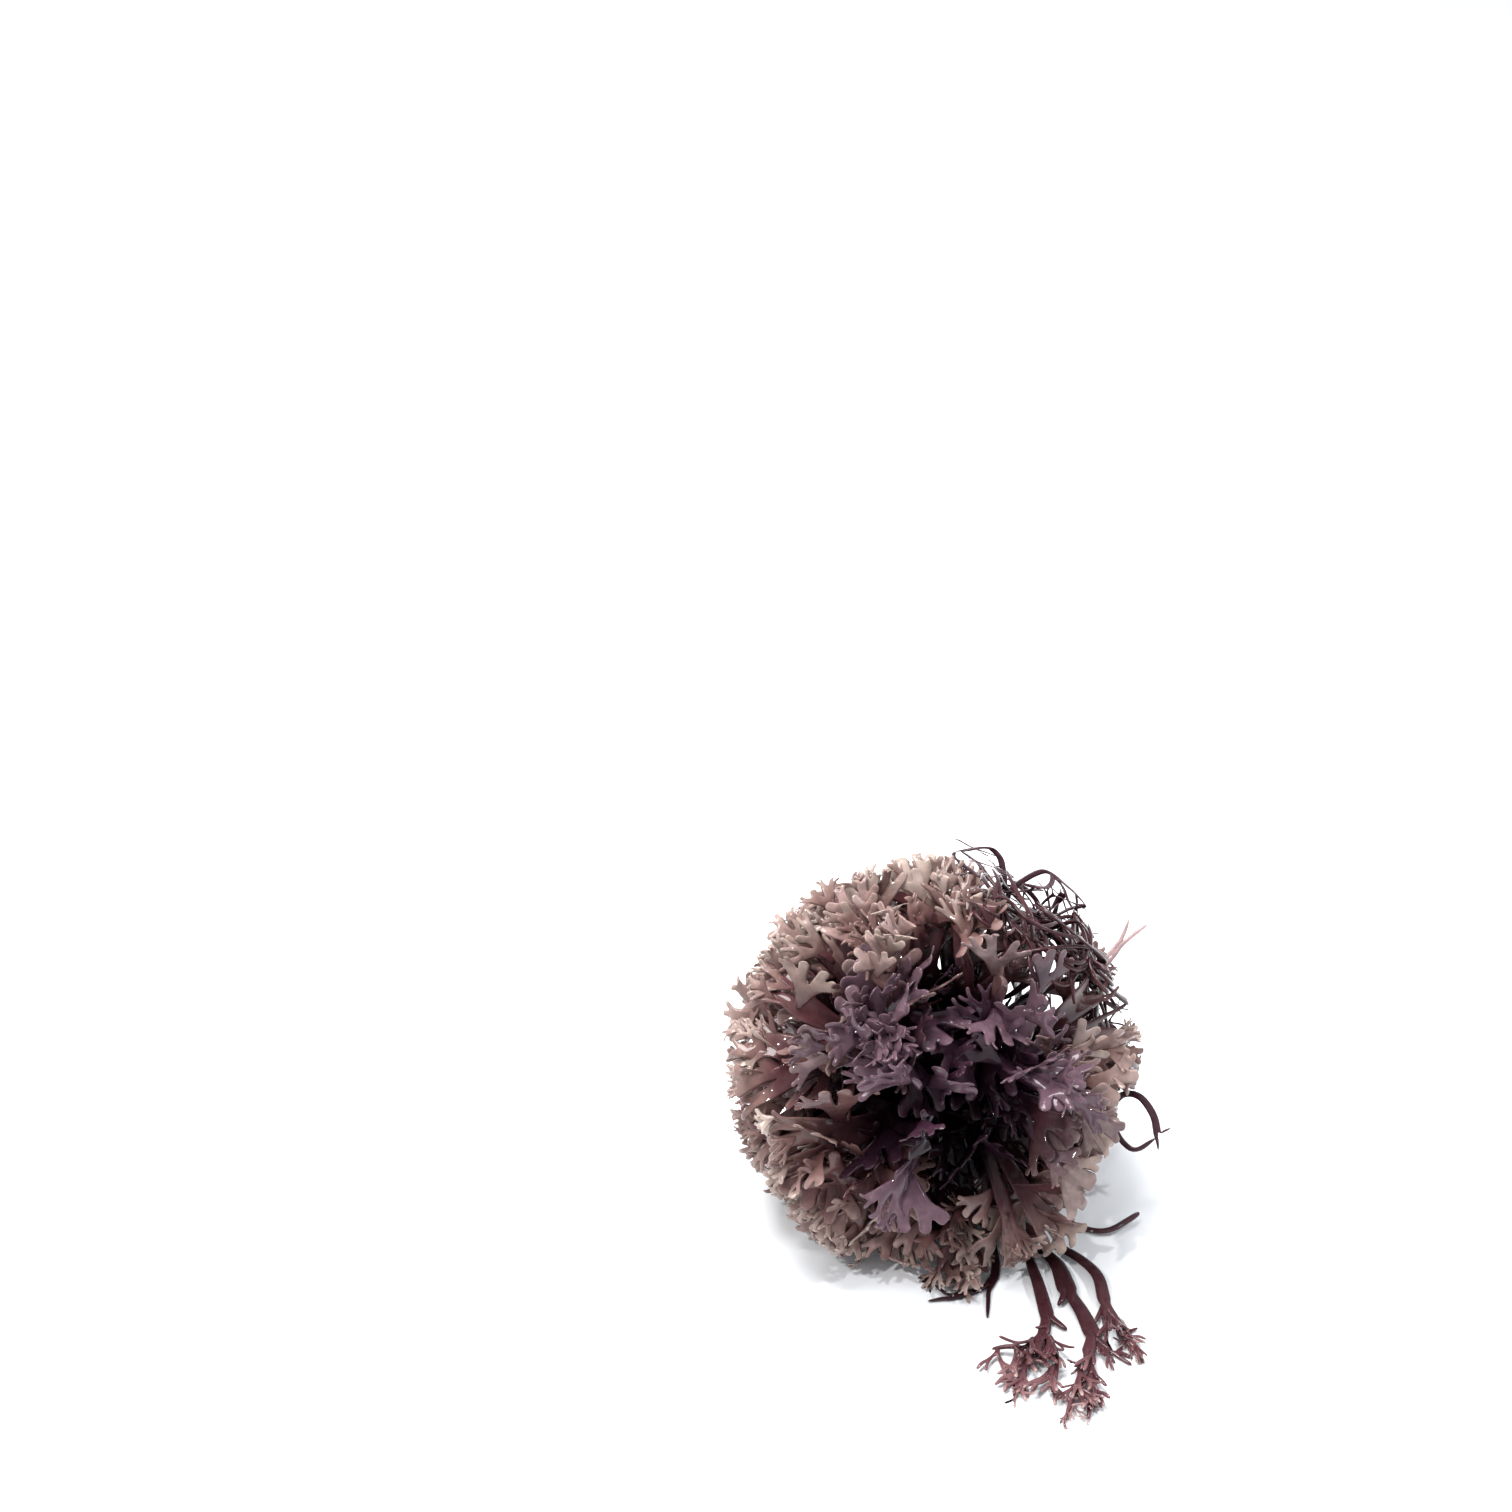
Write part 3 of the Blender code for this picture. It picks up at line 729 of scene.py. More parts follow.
def sprouting_tree():
    """Young fronds on the faces of a blade, aligned to its grow_way and face_way attributes."""
    tree = bpy.data.node_groups.new("sprouting", "GeometryNodeTree")
    tree.is_modifier = True
    for label, kind in (
        ("Geometry", "Geometry"), ("Young fronds", "Collection"), ("Crowding", "Float"),
        ("Smallest gap", "Float"), ("Smallest", "Float"), ("Largest", "Float"),
        ("Scatter", "Float"), ("Twist", "Float"), ("Seed", "Int"), ("Skin", "Material"),
    ):
        tree.interface.new_socket(label, in_out="INPUT", socket_type="NodeSocket" + kind)
    tree.interface.new_socket("Geometry", in_out="OUTPUT", socket_type="NodeSocketGeometry")
    given = tree.nodes.new("NodeGroupInput")

    def value_of(label):
        return Shade(tree, given.outputs[label])

    def named(label, kind="FLOAT"):
        return node(tree, "GeometryNodeInputNamedAttribute", {"data_type": kind}, {"Name": label})

    def chance(kind, low, high, salt):
        low_socket, high_socket, output = RANDOM_SOCKETS[kind]
        inputs = {low_socket: low, high_socket: high, 8: value_of("Seed") + salt}
        return node(tree, "FunctionNodeRandomValue", {"data_type": kind}, inputs, output)

    def vector_maths(operation, inputs):
        return node(tree, "ShaderNodeVectorMath", {"operation": operation}, inputs)

    points = node(tree, "GeometryNodeDistributePointsOnFaces", {"distribute_method": "POISSON"}, {
        "Mesh": value_of("Geometry"), "Distance Min": value_of("Smallest gap"),
        "Density Max": value_of("Crowding"), "Density Factor": named("crowd"),
        "Seed": value_of("Seed")})
    jitter = chance("FLOAT_VECTOR", (-1.0, -1.0, -1.0), (1.0, 1.0, 1.0), 11)
    scattered = vector_maths("SCALE", {0: jitter, "Scale": value_of("Scatter")})
    way = vector_maths("ADD", {0: named("grow_way", "FLOAT_VECTOR"), 1: scattered})
    upright = node(tree, "FunctionNodeAlignRotationToVector", {"axis": "Z"}, {"Vector": way})
    turned = node(tree, "FunctionNodeAlignRotationToVector", {"axis": "Y", "pivot_axis": "Z"}, {
        "Rotation": upright, "Vector": named("face_way", "FLOAT_VECTOR")})
    angle = chance("FLOAT", -1.0, 1.0, 23) * value_of("Twist")
    spin = node(tree, "FunctionNodeAxisAngleToRotation", {}, {
        "Axis": (0.0, 0.0, 1.0), "Angle": angle})
    facing_way = node(tree, "FunctionNodeRotateRotation", {"rotation_space": "LOCAL"}, {
        "Rotation": turned, "Rotate By": spin})
    size = chance("FLOAT", value_of("Smallest"), value_of("Largest"), 37) * named("size")
    leaves = node(tree, "GeometryNodeCollectionInfo", {}, {
        "Collection": value_of("Young fronds"), "Separate Children": True, "Reset Children": True})
    which = chance("INT", 0, 1000, 51)
    grown = node(tree, "GeometryNodeInstanceOnPoints", {}, {
        "Points": points, "Instance": leaves, "Pick Instance": True, "Instance Index": which,
        "Rotation": facing_way, "Scale": size})
    stored = {"data_type": "FLOAT", "domain": "INSTANCE"}
    tinted = node(tree, "GeometryNodeStoreNamedAttribute", stored, {
        "Geometry": grown, "Name": "tint", "Value": chance("FLOAT", 0.0, 1.0, 67)})
    join = tree.nodes.new("GeometryNodeJoinGeometry")
    tree.links.new(given.outputs["Geometry"], join.inputs[0])
    tree.links.new(tinted.socket, join.inputs[0])
    joined = Shade(tree, join.outputs[0])
    plain = node(tree, "GeometryNodeRealizeInstances", {}, {"Geometry": joined})
    skinned = node(tree, "GeometryNodeSetMaterial", {}, {
        "Geometry": plain, "Material": value_of("Skin")})
    result = tree.nodes.new("NodeGroupOutput")
    tree.links.new(skinned.socket, result.inputs["Geometry"])
    return tree


SPROUTING = sprouting_tree()


def sprout(piece, leaves, seed, habit):
    """Let young fronds grow on a piece, in its own skin, in a habit that sets the tree's inputs."""
    crowding, gap, smallest, largest, scatter, twist = habit
    settings = {
        "Young fronds": leaves, "Crowding": crowding, "Smallest gap": gap, "Smallest": smallest,
        "Largest": largest, "Scatter": scatter, "Twist": twist, "Seed": seed,
        "Skin": piece.data.materials[0],
    }
    modifier = piece.modifiers.new("sprouting", "NODES")
    modifier.node_group = SPROUTING
    for item in SPROUTING.interface.items_tree:
        if item.in_out == "INPUT" and item.name in settings:
            modifier[item.identifier] = settings[item.name]


# The blades of the rosette
# The old blades of the rosette, each its own frond, with the young ones that hide their margins.
# The hollow below the open crown and the net at the shoulder stay free of them. In the net the
# blades are slim, and thin strands run from them round the tuft.
BARE_PLACES = (2, 36, 44)
WIRE_PLACES = (27, 30, 35, 43, 48)
WISP_PLACE = 22
LOOP_PLACE = 25
TRAIL_PLACE = 28
FORKED_PLACE = 15
VIOLET_NEAR = math.radians(56.0)
VIOLET_FAR = math.radians(28.0)
TOWARDS_VIEWER = Vector((0.0, -0.78, 0.63))
CROWN_REACH = (0.42, 0.80)
CROWN_SIZE = 1.25
CROWN_CROWD = 0.8
CROWN_RISE = 0.45
CROWN_ANGLE = math.radians(48.0)
SCREEN_REACH = 0.42
SCREEN_SIZE = 1.3
SCREEN_START = (0.06, 0.16)
SCREEN_CROWD = 0.9
SCREEN_RISE = 0.35
NET_SCREEN = 0.12
ROUND_WAVES = 0.23
YOUNG_LENGTH = 14.0
INNER_ANGLES = (math.radians(62.0), math.radians(18.0))
LEAN_WAVES = 0.11
LEAN_HEIGHT = 2.6
LEAN_OUT = 0.2
RISE = 0.80
RISE_LESS_INSIDE = 0.30
SPREADING = 0.45
SPREADING_MORE_INSIDE = 0.30
FLOOR_ZONE = 14.0
FLOOR_RISE = 0.05
SMALLEST_SIZE = 0.45
SIZE_MORE_INSIDE = 0.30
LIT_REACH = (0.42, 0.66)
LIT_ROOM = (3.0, 7.0)
SHELL = BALL_RADIUS - 0.5
DENT_AXIS = Vector((0.90, -0.25, -0.32)).normalized()
DENT_NEAR = math.radians(14.0)
DENT_FAR = math.radians(30.0)
DENT = 6.5
MARGIN = 0.02
FLOOR_GAP = 0.0002
SOFT_SHELL = 57.5
SHELL_GIVE = 0.50
# Painted shade in the net and in the hollow: how much of the colour's reach is kept there.
NET_SHADE = 0.80
HOLLOW_SHADE = 0.32
STRAP_STEP = 1.8
STRAP_TIP = 0.45
NET_START = 0.35
NET_INSIDE = 0.2
NET_POINTS = 12
BLADE_STRANDS = 14
BLADE_STRAND_REACH = (0.63, 0.72)
NET_STEP = 3.0
NET_LENGTHS = (24.0, 48.0)
NET_HALF = 0.85
NET_HALF_VARIES = (0.7, 1.6)
NET_TIP = 0.6
NET_CURL = 0.12
NET_SHELLS = (46.0, 60.0)
NET_MIDDLE = 50.0
NET_LOOSE = 16.0
NET_TIGHT = 29.0
NET_PULL = 0.035
NET_FLATTEN = 0.6
NET_HOLD = 0.06
CURLED_EVERY = 4
CURLED_TURN = 5.0
CURL_LENGTHS = (22.0, 34.0)
CURL_TURN = 0.75
CURL_STEP = 0.8


def violet_at(point):
    """1 round the open crown, 0 on the outside of the rosette."""
    angle = (point - HOLDFAST_CENTRE).angle(OPEN_AXIS, 0.0)
    return share_between(angle, VIOLET_NEAR, VIOLET_FAR)


def shade_in_gaps(point):
    """Painted shade: the blades in the net and in the hollow stay as dark as low down. In the net
    this also gives the thin strands their dark colour.
    """
    in_net = NET_SHADE + (1.0 - NET_SHADE) * outside_net(point)
    return in_net * (HOLLOW_SHADE + (1.0 - HOLLOW_SHADE) * outside_hollow(point))


def outwards(point):
    return (point - BALL_CENTRE).normalized()


def curve_point(p0, p1, p2, p3, t):
    """A point of the smooth curve from p1 to p2, between p0 and p3."""
    return 0.5 * ((2 * p1) + (p2 - p0) * t + (2 * p0 - 5 * p1 + 4 * p2 - p3) * t * t
                  + (3 * p1 - p0 - 3 * p2 + p3) * t ** 3)


def smooth_route(points, before=None):
    """Points along a smooth curve through the route's own points, one about every STRAP_STEP."""
    lead = before if before is not None else points[0] * 2 - points[1]
    line = [lead] + points + [points[-1] * 2 - points[-2]]
    route = []
    for i in range(1, len(line) - 2):
        steps = max(int((line[i + 1] - line[i]).length / STRAP_STEP), 1)
        for step in range(1, steps + 1):
            route.append(curve_point(*line[i - 1:i + 3], step / steps))
    return route


def lay_strap(sheet, branch, facing_way, edge, path, before, walked, full):
    """Lay a strap along its smooth route and go on with the branches after its fork."""
    points, half0, half1, *children = branch
    route = smooth_route([path] + [Vector(p) for p in points], before)
    previous = path
    for i, point in enumerate(route):
        t = (i + 1) / len(route)
        walked += (point - previous).length
        side = (point - previous).cross(facing_way(point)).normalized()
        half = half0 + (half1 - half0) * t
        if i == len(route) - 1 and not children:
            half *= STRAP_TIP
        middle = point - side.cross(point - previous).normalized() * (half * CHANNEL)
        after = [sheet.add(above_floor(p), min(walked / full, 1.0))
                 for p in (point - side * half, middle, point + side * half)]
        if children and i == len(route) - 1:
            split_row(sheet, edge, after)
        else:
            join_rows(sheet, edge, after)
            edge = after
            before, previous = previous, point
    if not children:
        return
    ends = (sheet.left_edge, sheet.right_edge)
    for child, end in zip(children, ends):
        lay_strap(sheet, child, facing_way, end, route[-1], route[-2], walked, full)


def above_floor(point):
    return Vector((point.x, point.y, max(point.z, FLOOR_CLEARANCE)))


def branch_length(branch, start):
    """The longest way along a branch to one of its tips."""
    points, _, _, *children = branch
    length = 0.0
    for point in points:
        length += (Vector(point) - start).length
        start = Vector(point)
    return length + max([branch_length(child, start) for child in children], default=0.0)


def smooth_strap(branch, facing_way, stalk=(), sheet=None):
    """A sheet with a strap and its branches, after the stalk that leads to it."""
    points, half0, half1, *children = branch
    foot, *rest = [Vector(p) for p in list(stalk) + list(points)]
    whole = (rest, half0, half1, *children)
    sheet = sheet or Sheet()
    side = (rest[0] - foot).cross(facing_way(foot)).normalized()
    edge = [sheet.add(above_floor(foot + side * (half0 * step)), 0.0) for step in (-1.0, 0.0, 1.0)]
    lay_strap(sheet, whole, facing_way, edge, foot, None, 0.0, branch_length(whole, foot))
    return sheet


def round_the_ball(point, heading, flatten, shell, hold, turn):
    """The next heading of a strand that keeps at a distance from the middle and turns."""
    radial = outwards(point)
    return (heading - radial * heading.dot(radial) * flatten
            + radial * ((shell - (point - BALL_CENTRE).length) * hold)
            + radial.cross(heading) * turn)


def net_strand(rng, start, length, curl, step):
    """A thin strand that runs round the ball inside the net, from a point of a bough."""
    radial = outwards(start)
    heading = Matrix.Rotation(rng.uniform(0.0, 6.28), 3, radial) @ radial.orthogonal().normalized()
    shell = rng.uniform(*NET_SHELLS)
    turn = rng.uniform(-1.0, 1.0) * curl
    point = start
    points = [start]
    for _ in range(int(length / step)):
        middle = HOLDFAST_CENTRE + NET_AXIS * NET_MIDDLE
        astray = share_between((point - middle).length, NET_LOOSE, NET_TIGHT)
        onward = round_the_ball(point, heading, NET_FLATTEN, shell, NET_HOLD, turn)
        heading = (onward + (middle - point) * astray * NET_PULL).normalized()
        point = point + heading * step
        points.append(point)
    return (points, NET_HALF * rng.uniform(*NET_HALF_VARIES), NET_HALF * NET_TIP)


def add_net_strands(sheet, rng, starts, count, low, high):
    """Add thin strands of the net to a sheet, from some of its points. Some of them curl up."""
    for strand in range(count):
        start = sheet.points[rng.choice(starts)]
        if (start - HOLDFAST_CENTRE).angle(CURLS_AXIS) < CURLS_FAR:
            length = rng.uniform(*CURL_LENGTHS)
            branch = net_strand(rng, start, length, CURL_TURN, NET_STEP * CURL_STEP)
        else:
            curl = NET_CURL * (CURLED_TURN if strand % CURLED_EVERY == 0 else 1.0)
            branch = net_strand(rng, start, rng.uniform(*NET_LENGTHS), curl, NET_STEP)
        before = len(sheet.points)
        smooth_strap(branch, outwards, sheet=sheet)
        for i in range(before, len(sheet.points)):
            sheet.reach[i] = low + (high - low) * sheet.reach[i]


def shell_less(offset):
    """How far the tuft stays inside the ball: it is flatter beside the loop."""
    return DENT * share_between(offset.angle(DENT_AXIS, 0.0), DENT_FAR, DENT_NEAR)


def room_in_ball(point, way):
    """How far a young frond can grow from a point before it reaches the ball."""
    offset = point - BALL_CENTRE
    b = offset.dot(way)
    inside = b * b - offset.length_squared + (SHELL - shell_less(offset)) ** 2
    return -b + math.sqrt(inside) if inside > 0.0 else 0.0


def round_axis(point, axis):
    """Any way at a right angle to an axis, another one every few millimetres."""
    place = point * ROUND_WAVES
    parts = [noise.noise(place + Vector((0.0, 0.0, apart))) for apart in (0.0, 31.4, 62.8)]
    return axis.cross(Vector(parts)).normalized()


def hand_growth(point, reach):
    """Crowd, size, way up and way faced of the young fronds at a point of a blade."""
    radial = (point - HOLDFAST_CENTRE).normalized()
    if reach < SCREEN_REACH + NET_SCREEN * (1.0 - outside_net(point)):
        crowd = share_between(reach, *SCREEN_START) * SCREEN_CROWD
        return crowd, SCREEN_SIZE, round_axis(point, radial) + radial * SCREEN_RISE, radial
    angle = radial.angle(OPEN_AXIS)
    away = radial - OPEN_AXIS * radial.dot(OPEN_AXIS)
    tangent = away.normalized() * math.cos(angle) - OPEN_AXIS * math.sin(angle)
    inner = share_between(angle, *INNER_ANGLES)
    lean = 1.0 - inner + inner * (noise.noise(point * LEAN_WAVES) * LEAN_HEIGHT + LEAN_OUT)
    spreading = SPREADING + SPREADING_MORE_INSIDE * inner
    grow_way = radial * (RISE - RISE_LESS_INSIDE * inner) + tangent * spreading * lean
    if point.z < FLOOR_ZONE:
        grow_way.z = max(grow_way.z, FLOOR_RISE)
    grow_way.normalize()
    room = room_in_ball(point, grow_way)
    size = min(max(room / YOUNG_LENGTH, SMALLEST_SIZE), 1.0 + SIZE_MORE_INSIDE * inner)
    lit = share_between(reach, *LIT_REACH) * share_between(room, *LIT_ROOM)
    tip = point + grow_way * (size * YOUNG_LENGTH)
    bare = min(outside_net(point), outside_net(tip), outside_hollow(point), outside_hollow(tip))
    return lit * bare, size, grow_way, OPEN_AXIS * 0.6 + radial * 0.4


def crown_growth(point, reach):
    """Round the open crown broad blades spread sideways, and show the viewer their faces."""
    crowd, size, grow_way, face_way = hand_growth(point, reach)
    leafy = min(outside_hollow(point), outside_net(point)) > 0.5
    if leafy and CROWN_REACH[0] < reach < CROWN_REACH[1]:
        radial = (point - HOLDFAST_CENTRE).normalized()
        grow_way = (round_axis(point, radial) + radial * CROWN_RISE).normalized()
        return CROWN_CROWD, CROWN_SIZE, grow_way, radial * 0.5 + TOWARDS_VIEWER * 0.5
    return crowd, size, grow_way, face_way


def piece_from_sheet(name, sheet, skin, thickness, tint, growth=None, is_violet=False):
    """Make a sheet a closed blade with rounded margins, ready for its young fronds."""
    mesh = bpy.data.meshes.new("skin_" + name)
    mesh.from_pydata([(p + SHIFT) * MM for p in sheet.points], [], sheet.faces)
    count = len(sheet.points)
    values = {
        "reach": sheet.reach,
        "tint": [tint] * count,
        "violet": [violet_at(p) if is_violet else 0.0 for p in sheet.points],
    }
    if growth:
        grown = [growth(p, r) for p, r in zip(sheet.points, sheet.reach)]
        values["crowd"] = [g[0] for g in grown]
        values["size"] = [g[1] for g in grown]
        if is_violet:
            tips = [p + g[2] * (g[1] * YOUNG_LENGTH) for p, g in zip(sheet.points, grown)]
            values["violet"] = [max(violet_at(p), violet_at(t)) for p, t in zip(sheet.points, tips)]
            # The reach that sets the colour is cut down in the net and in the hollow: painted
            # shade.
            values["reach"] = [r * shade_in_gaps(p) for p, r in zip(sheet.points, sheet.reach)]
        for key, slot in (("grow_way", 2), ("face_way", 3)):
            flat = [number for g in grown for number in g[slot]]
            mesh.attributes.new(key, "FLOAT_VECTOR", "POINT").data.foreach_set("vector", flat)
    for key, numbers in values.items():
        mesh.attributes.new(key, "FLOAT", "POINT").data.foreach_set("value", numbers)
    mesh.materials.append(skin)
    piece = bpy.data.objects.new(mesh.name, mesh)
    bpy.context.scene.collection.objects.link(piece)
    add_thickness(piece, thickness)
    return piece


def finish_piece(piece, node_name, slot, rounded=False):
    """Make a piece a plain mesh inside the plant's own box, which stands for its node."""
    apply_modifiers(piece)
    room = (cad_high - cad_low) * MARGIN
    low = cad_low - room
    high = cad_high + room
    low.z = FLOOR_GAP
    middle = (BALL_CENTRE + SHIFT) * MM
    for vertex in piece.data.vertices:
        offset = vertex.co - middle
        shell = (SOFT_SHELL - shell_less(offset)) * MM
        if rounded and offset.length > shell:
            offset *= (shell + (offset.length - shell) * SHELL_GIVE) / offset.length
            vertex.co = middle + offset
        for axis in range(3):
            vertex.co[axis] = min(max(vertex.co[axis], low[axis]), high[axis])
    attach(piece, "root")
    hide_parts(node_name)


FROND_THICKNESS = 0.95
FROND_SEED = 101
# A habit is the crowding, smallest gap, smallest and largest size, scatter and twist.
FROND_HABIT = (42000.0, 0.0028, 0.75, 1.2, 0.42, 0.9)
HAND_KINDS = young_fronds("hands", 24, (HAND, BROAD), SEED)
INNER_KINDS = young_fronds("broad_hands", 16, (BROAD, CROWN, HAND, CROWN), SEED + 1)
directions = rosette_directions()
taken = BARE_PLACES + WIRE_PLACES + (WISP_PLACE, LOOP_PLACE, TRAIL_PLACE, FORKED_PLACE)
tint_rng = random.Random(SEED)
number = 0
for index, direction in enumerate(directions):
    if index not in taken:
        number += 1
        name = "frond_%02d" % number
        is_inner = direction.angle(OPEN_AXIS) < CROWN_ANGLE
        sheet = main_frond(index, direction)
        starts = [i for i, p in enumerate(sheet.points)
                  if outside_net(p) < NET_INSIDE and sheet.reach[i] > NET_START]
        if len(starts) > NET_POINTS:
            add_net_strands(sheet, random.Random(index), starts, BLADE_STRANDS, *BLADE_STRAND_REACH)
        growth = crown_growth if is_inner else hand_growth
        tint = tint_rng.random()
        piece = piece_from_sheet(
            name, sheet, frond_skin, FROND_THICKNESS, tint, growth, is_violet=True)
        sprout(piece, INNER_KINDS if is_inner else HAND_KINDS, number * FROND_SEED, FROND_HABIT)
        finish_piece(piece, name, "violet_frond" if is_inner else "pale_frond", rounded=True)

# The straps and wires
# Narrow tough fronds that hardly fan out: the dark net behind the right shoulder, the loop, the
# wisp and the straps under the tuft. Each is one smooth flat strap that forks and tapers.
WIRE_SEEDS = (1, 2, 1, 1, 5)
WIRE_SHELLS = (63.5, 57.0, 61.0, 59.0, 56.0)
WIRE_CLIMB = 13.0
WIRE_BOUGH = (19.0, 26.0)
WIRE_TWIG = (12.0, 18.0)
WIRE_TWIG_ANGLE = (0.25, 0.75)
WIRE_STALK_HALVES = (1.0, 1.5)
WIRE_BOUGH_HALVES = (0.9, 1.3)
WIRE_TWIG_HALVES = (0.8, 0.45)
WIRE_ASIDE = (-0.5, 0.5)
WIRE_OUTWARDS = 0.7
WIRE_SHELL_VARIES = (-2.0, 2.0)
WIRE_FLATTEN = 0.45
WIRE_HOLD = 0.11
WIRE_WANDER = 0.14
WIRE_TWIG_TURN = 0.12
WIRE_THICKNESS = 0.95
WIRE_TINT = 0.4
WIRE_SEED = 900
HANGING_SEED = 950
TASSEL_SEED = 970
NET_STRANDS = 11
NET_STRAND_REACH = (0.50, 0.95)
HANGING_DARK = 0.55
ROOTED_THICKNESS = 1.0
FLOOR_THICKNESS = 1.1
STRAP_TINT = 0.5
TWIG_CROWD = (0.35, 0.60)
TASSEL_CROWD = (0.45, 0.66)
TWIG_HABIT = (12000.0, 0.006, 0.5, 0.9, 0.45, 0.6)
HANGING_HABIT = (70000.0, 0.0026, 0.55, 0.9, 0.4, 0.8)
TASSEL_HABIT = (210000.0, 0.0016, 0.5, 1.0, 0.30, 0.7)
# A strap is its points, its half width at both ends, and the straps after its fork.
WISP = ([(39.5, 6.0, 71.5), (45.5, 11.0, 75.5)], 0.9, 1.3,
    ([(48.5, 15.0, 79.5), (49.5, 16.5, 82.5)], 0.7, 0.5),
    ([(51.5, 14.5, 79.0), (54.5, 16.0, 80.5)], 0.7, 0.5))
LOOP = ([(45.5, -1.0, 29.0)], 1.0, 1.9,
    ([(49.5, 3.2, 31.0), (54.0, 1.2, 32.2), (58.0, -2.3, 28.0), (59.0, -5.5, 23.7)], 1.0, 1.2,
        ([(63.0, -3.5, 24.5)], 0.6, 0.4),
        ([(59.3, -7.5, 19.7)], 0.6, 0.4)),
    ([(48.5, -3.8, 21.5), (52.5, -7.3, 19.5), (56.0, -6.6, 21.0), (58.4, -6.0, 22.8)], 1.0, 0.7))
FORKED = ([(5.0, -20.0, 17.0)], 1.2, 2.4,
    ([(12.0, -29.5, 5.0), (12.4, -37.0, 1.2), (10.2, -42.0, 0.9)], 1.0, 1.5,
        ([(9.6, -48.0, 1.0), (9.0, -54.0, 0.6)], 0.8, 0.5),
        ([(5.0, -44.6, 1.0), (-0.5, -46.4, 1.0)], 0.8, 1.1,
            ([(-6.8, -47.6, 0.7)], 0.6, 0.4),
            ([(-4.6, -42.0, 1.4)], 0.6, 0.4))),
    ([(3.0, -26.5, 14.0), (2.5, -33.0, 9.0)], 2.4, 6.0,
        ([(6.6, -37.4, 5.6)], 3.2, 3.6,
            ([(10.4, -40.5, 4.4)], 1.4, 0.8),
            ([(6.0, -42.0, 3.2)], 1.4, 0.8)),
        ([(-1.2, -37.0, 5.2)], 3.2, 3.6,
            ([(1.0, -41.8, 3.2)], 1.4, 0.8),
            ([(-4.4, -40.2, 4.2)], 1.4, 0.8))))
TRAIL = ([(15.5, -13.5, 2.6), (19.0, -17.5, 0.9), (21.8, -20.8, 0.8), (24.8, -25.0, 0.7)], 1.2, 4.6)
FLOOR_STRAPS = {
    "spray_left": ([(22.0, -28.2, 0.6), (22.4, -35.0, 2.2), (23.6, -43.5, 2.6),
      (24.9, -53.5, 1.6)], 1.4, 2.2,
        ([(30.0, -59.0, 1.0)], 1.2, 0.8),
        ([(23.6, -60.5, 1.8)], 1.2, 1.9,
            ([(26.0, -70.0, 2.6), (24.0, -82.5, 1.0)], 0.9, 0.6),
            ([(18.5, -67.5, 2.4)], 1.0, 1.6,
                ([(17.0, -75.0, 1.4), (13.5, -83.0, 0.8)], 0.8, 0.6),
                ([(14.0, -66.5, 2.6), (9.0, -66.5, 1.4)], 0.8, 0.6)))),
    "spray_middle": ([(25.7, -26.6, 0.6), (29.4, -34.8, 2.2), (31.2, -45.0, 2.4)], 1.6, 3.0,
        ([(34.4, -53.0, 2.0), (36.4, -60.5, 1.4)], 1.7, 2.6,
            ([(40.8, -67.0, 0.9)], 1.3, 0.6),
            ([(34.5, -68.5, 2.4)], 1.3, 2.0,
                ([(34.0, -80.0, 2.2), (32.2, -91.5, 0.8)], 1.0, 0.6),
                ([(30.6, -79.5, 2.6), (26.0, -92.0, 0.8)], 1.0, 0.6))),
        ([(28.2, -50.0, 1.2)], 1.2, 0.8)),
    "spray_right": ([(28.9, -24.6, 0.6), (35.5, -31.8, 2.0), (39.9, -40.0, 3.0),
      (40.8, -49.0, 2.4)], 1.4, 2.0,
        ([(43.6, -56.0, 1.4), (45.6, -59.8, 1.0)], 1.0, 1.4,
            ([(49.0, -58.2, 1.0)], 0.6, 0.4),
            ([(47.3, -65.0, 1.0), (49.0, -71.0, 0.6)], 0.8, 0.6)),
        ([(40.4, -57.5, 1.2)], 1.0, 0.7)),
    "side_strap": ([(23.6, -12.4, 0.6), (32.0, -14.5, 0.7), (39.5, -19.5, 1.2), (45.0, -20.8, 2.0),
      (50.0, -18.0, 2.6), (54.5, -14.5, 3.0)], 1.1, 0.9),
}
RED_STOPS = [
    (0.0, (0.010, 0.003, 0.004)),
    (0.35, (0.045, 0.014, 0.018)),
    (0.75, (0.105, 0.040, 0.046)),
    (0.93, (0.200, 0.100, 0.104)),
    (1.0, (0.400, 0.270, 0.255)),
]
DARK_STOPS = [
    (0.0, (0.010, 0.003, 0.005)),
    (0.40, (0.034, 0.012, 0.017)),
    (0.85, (0.075, 0.032, 0.040)),
    (1.0, (0.170, 0.100, 0.105)),
]
WISP_STOPS = [
    (0.0, (0.012, 0.005, 0.007)),
    (0.50, (0.090, 0.045, 0.050)),
    (0.80, (0.480, 0.330, 0.330)),
    (1.0, (0.660, 0.520, 0.520)),
]
red_skin = wet_skin("red_strap_skin", RED_STOPS, blotch=0.20)
dark_skin = wet_skin("dark_wire_skin", DARK_STOPS, blotch=0.20)
wisp_skin = wet_skin("pale_wisp_skin", WISP_STOPS, blotch=0.15)


def straight_up(point):
    return Vector((0, 0, 1))


def towards_viewer(point):
    return TOWARDS_VIEWER


def trail_facing(point):
    """The trailing stem faces the open crown in the tuft and up on the floor."""
    low = share_between(point.z, 20.0, 5.0)
    return (OPEN_AXIS * (1.0 - low) + Vector((0.3, -0.3, 0.9)) * low).normalized()


def slot_route(direction, stops):
    """Points of a stalk that leaves the holdfast in its own place of the rosette."""
    return [settle(direction * r) for r in stops]


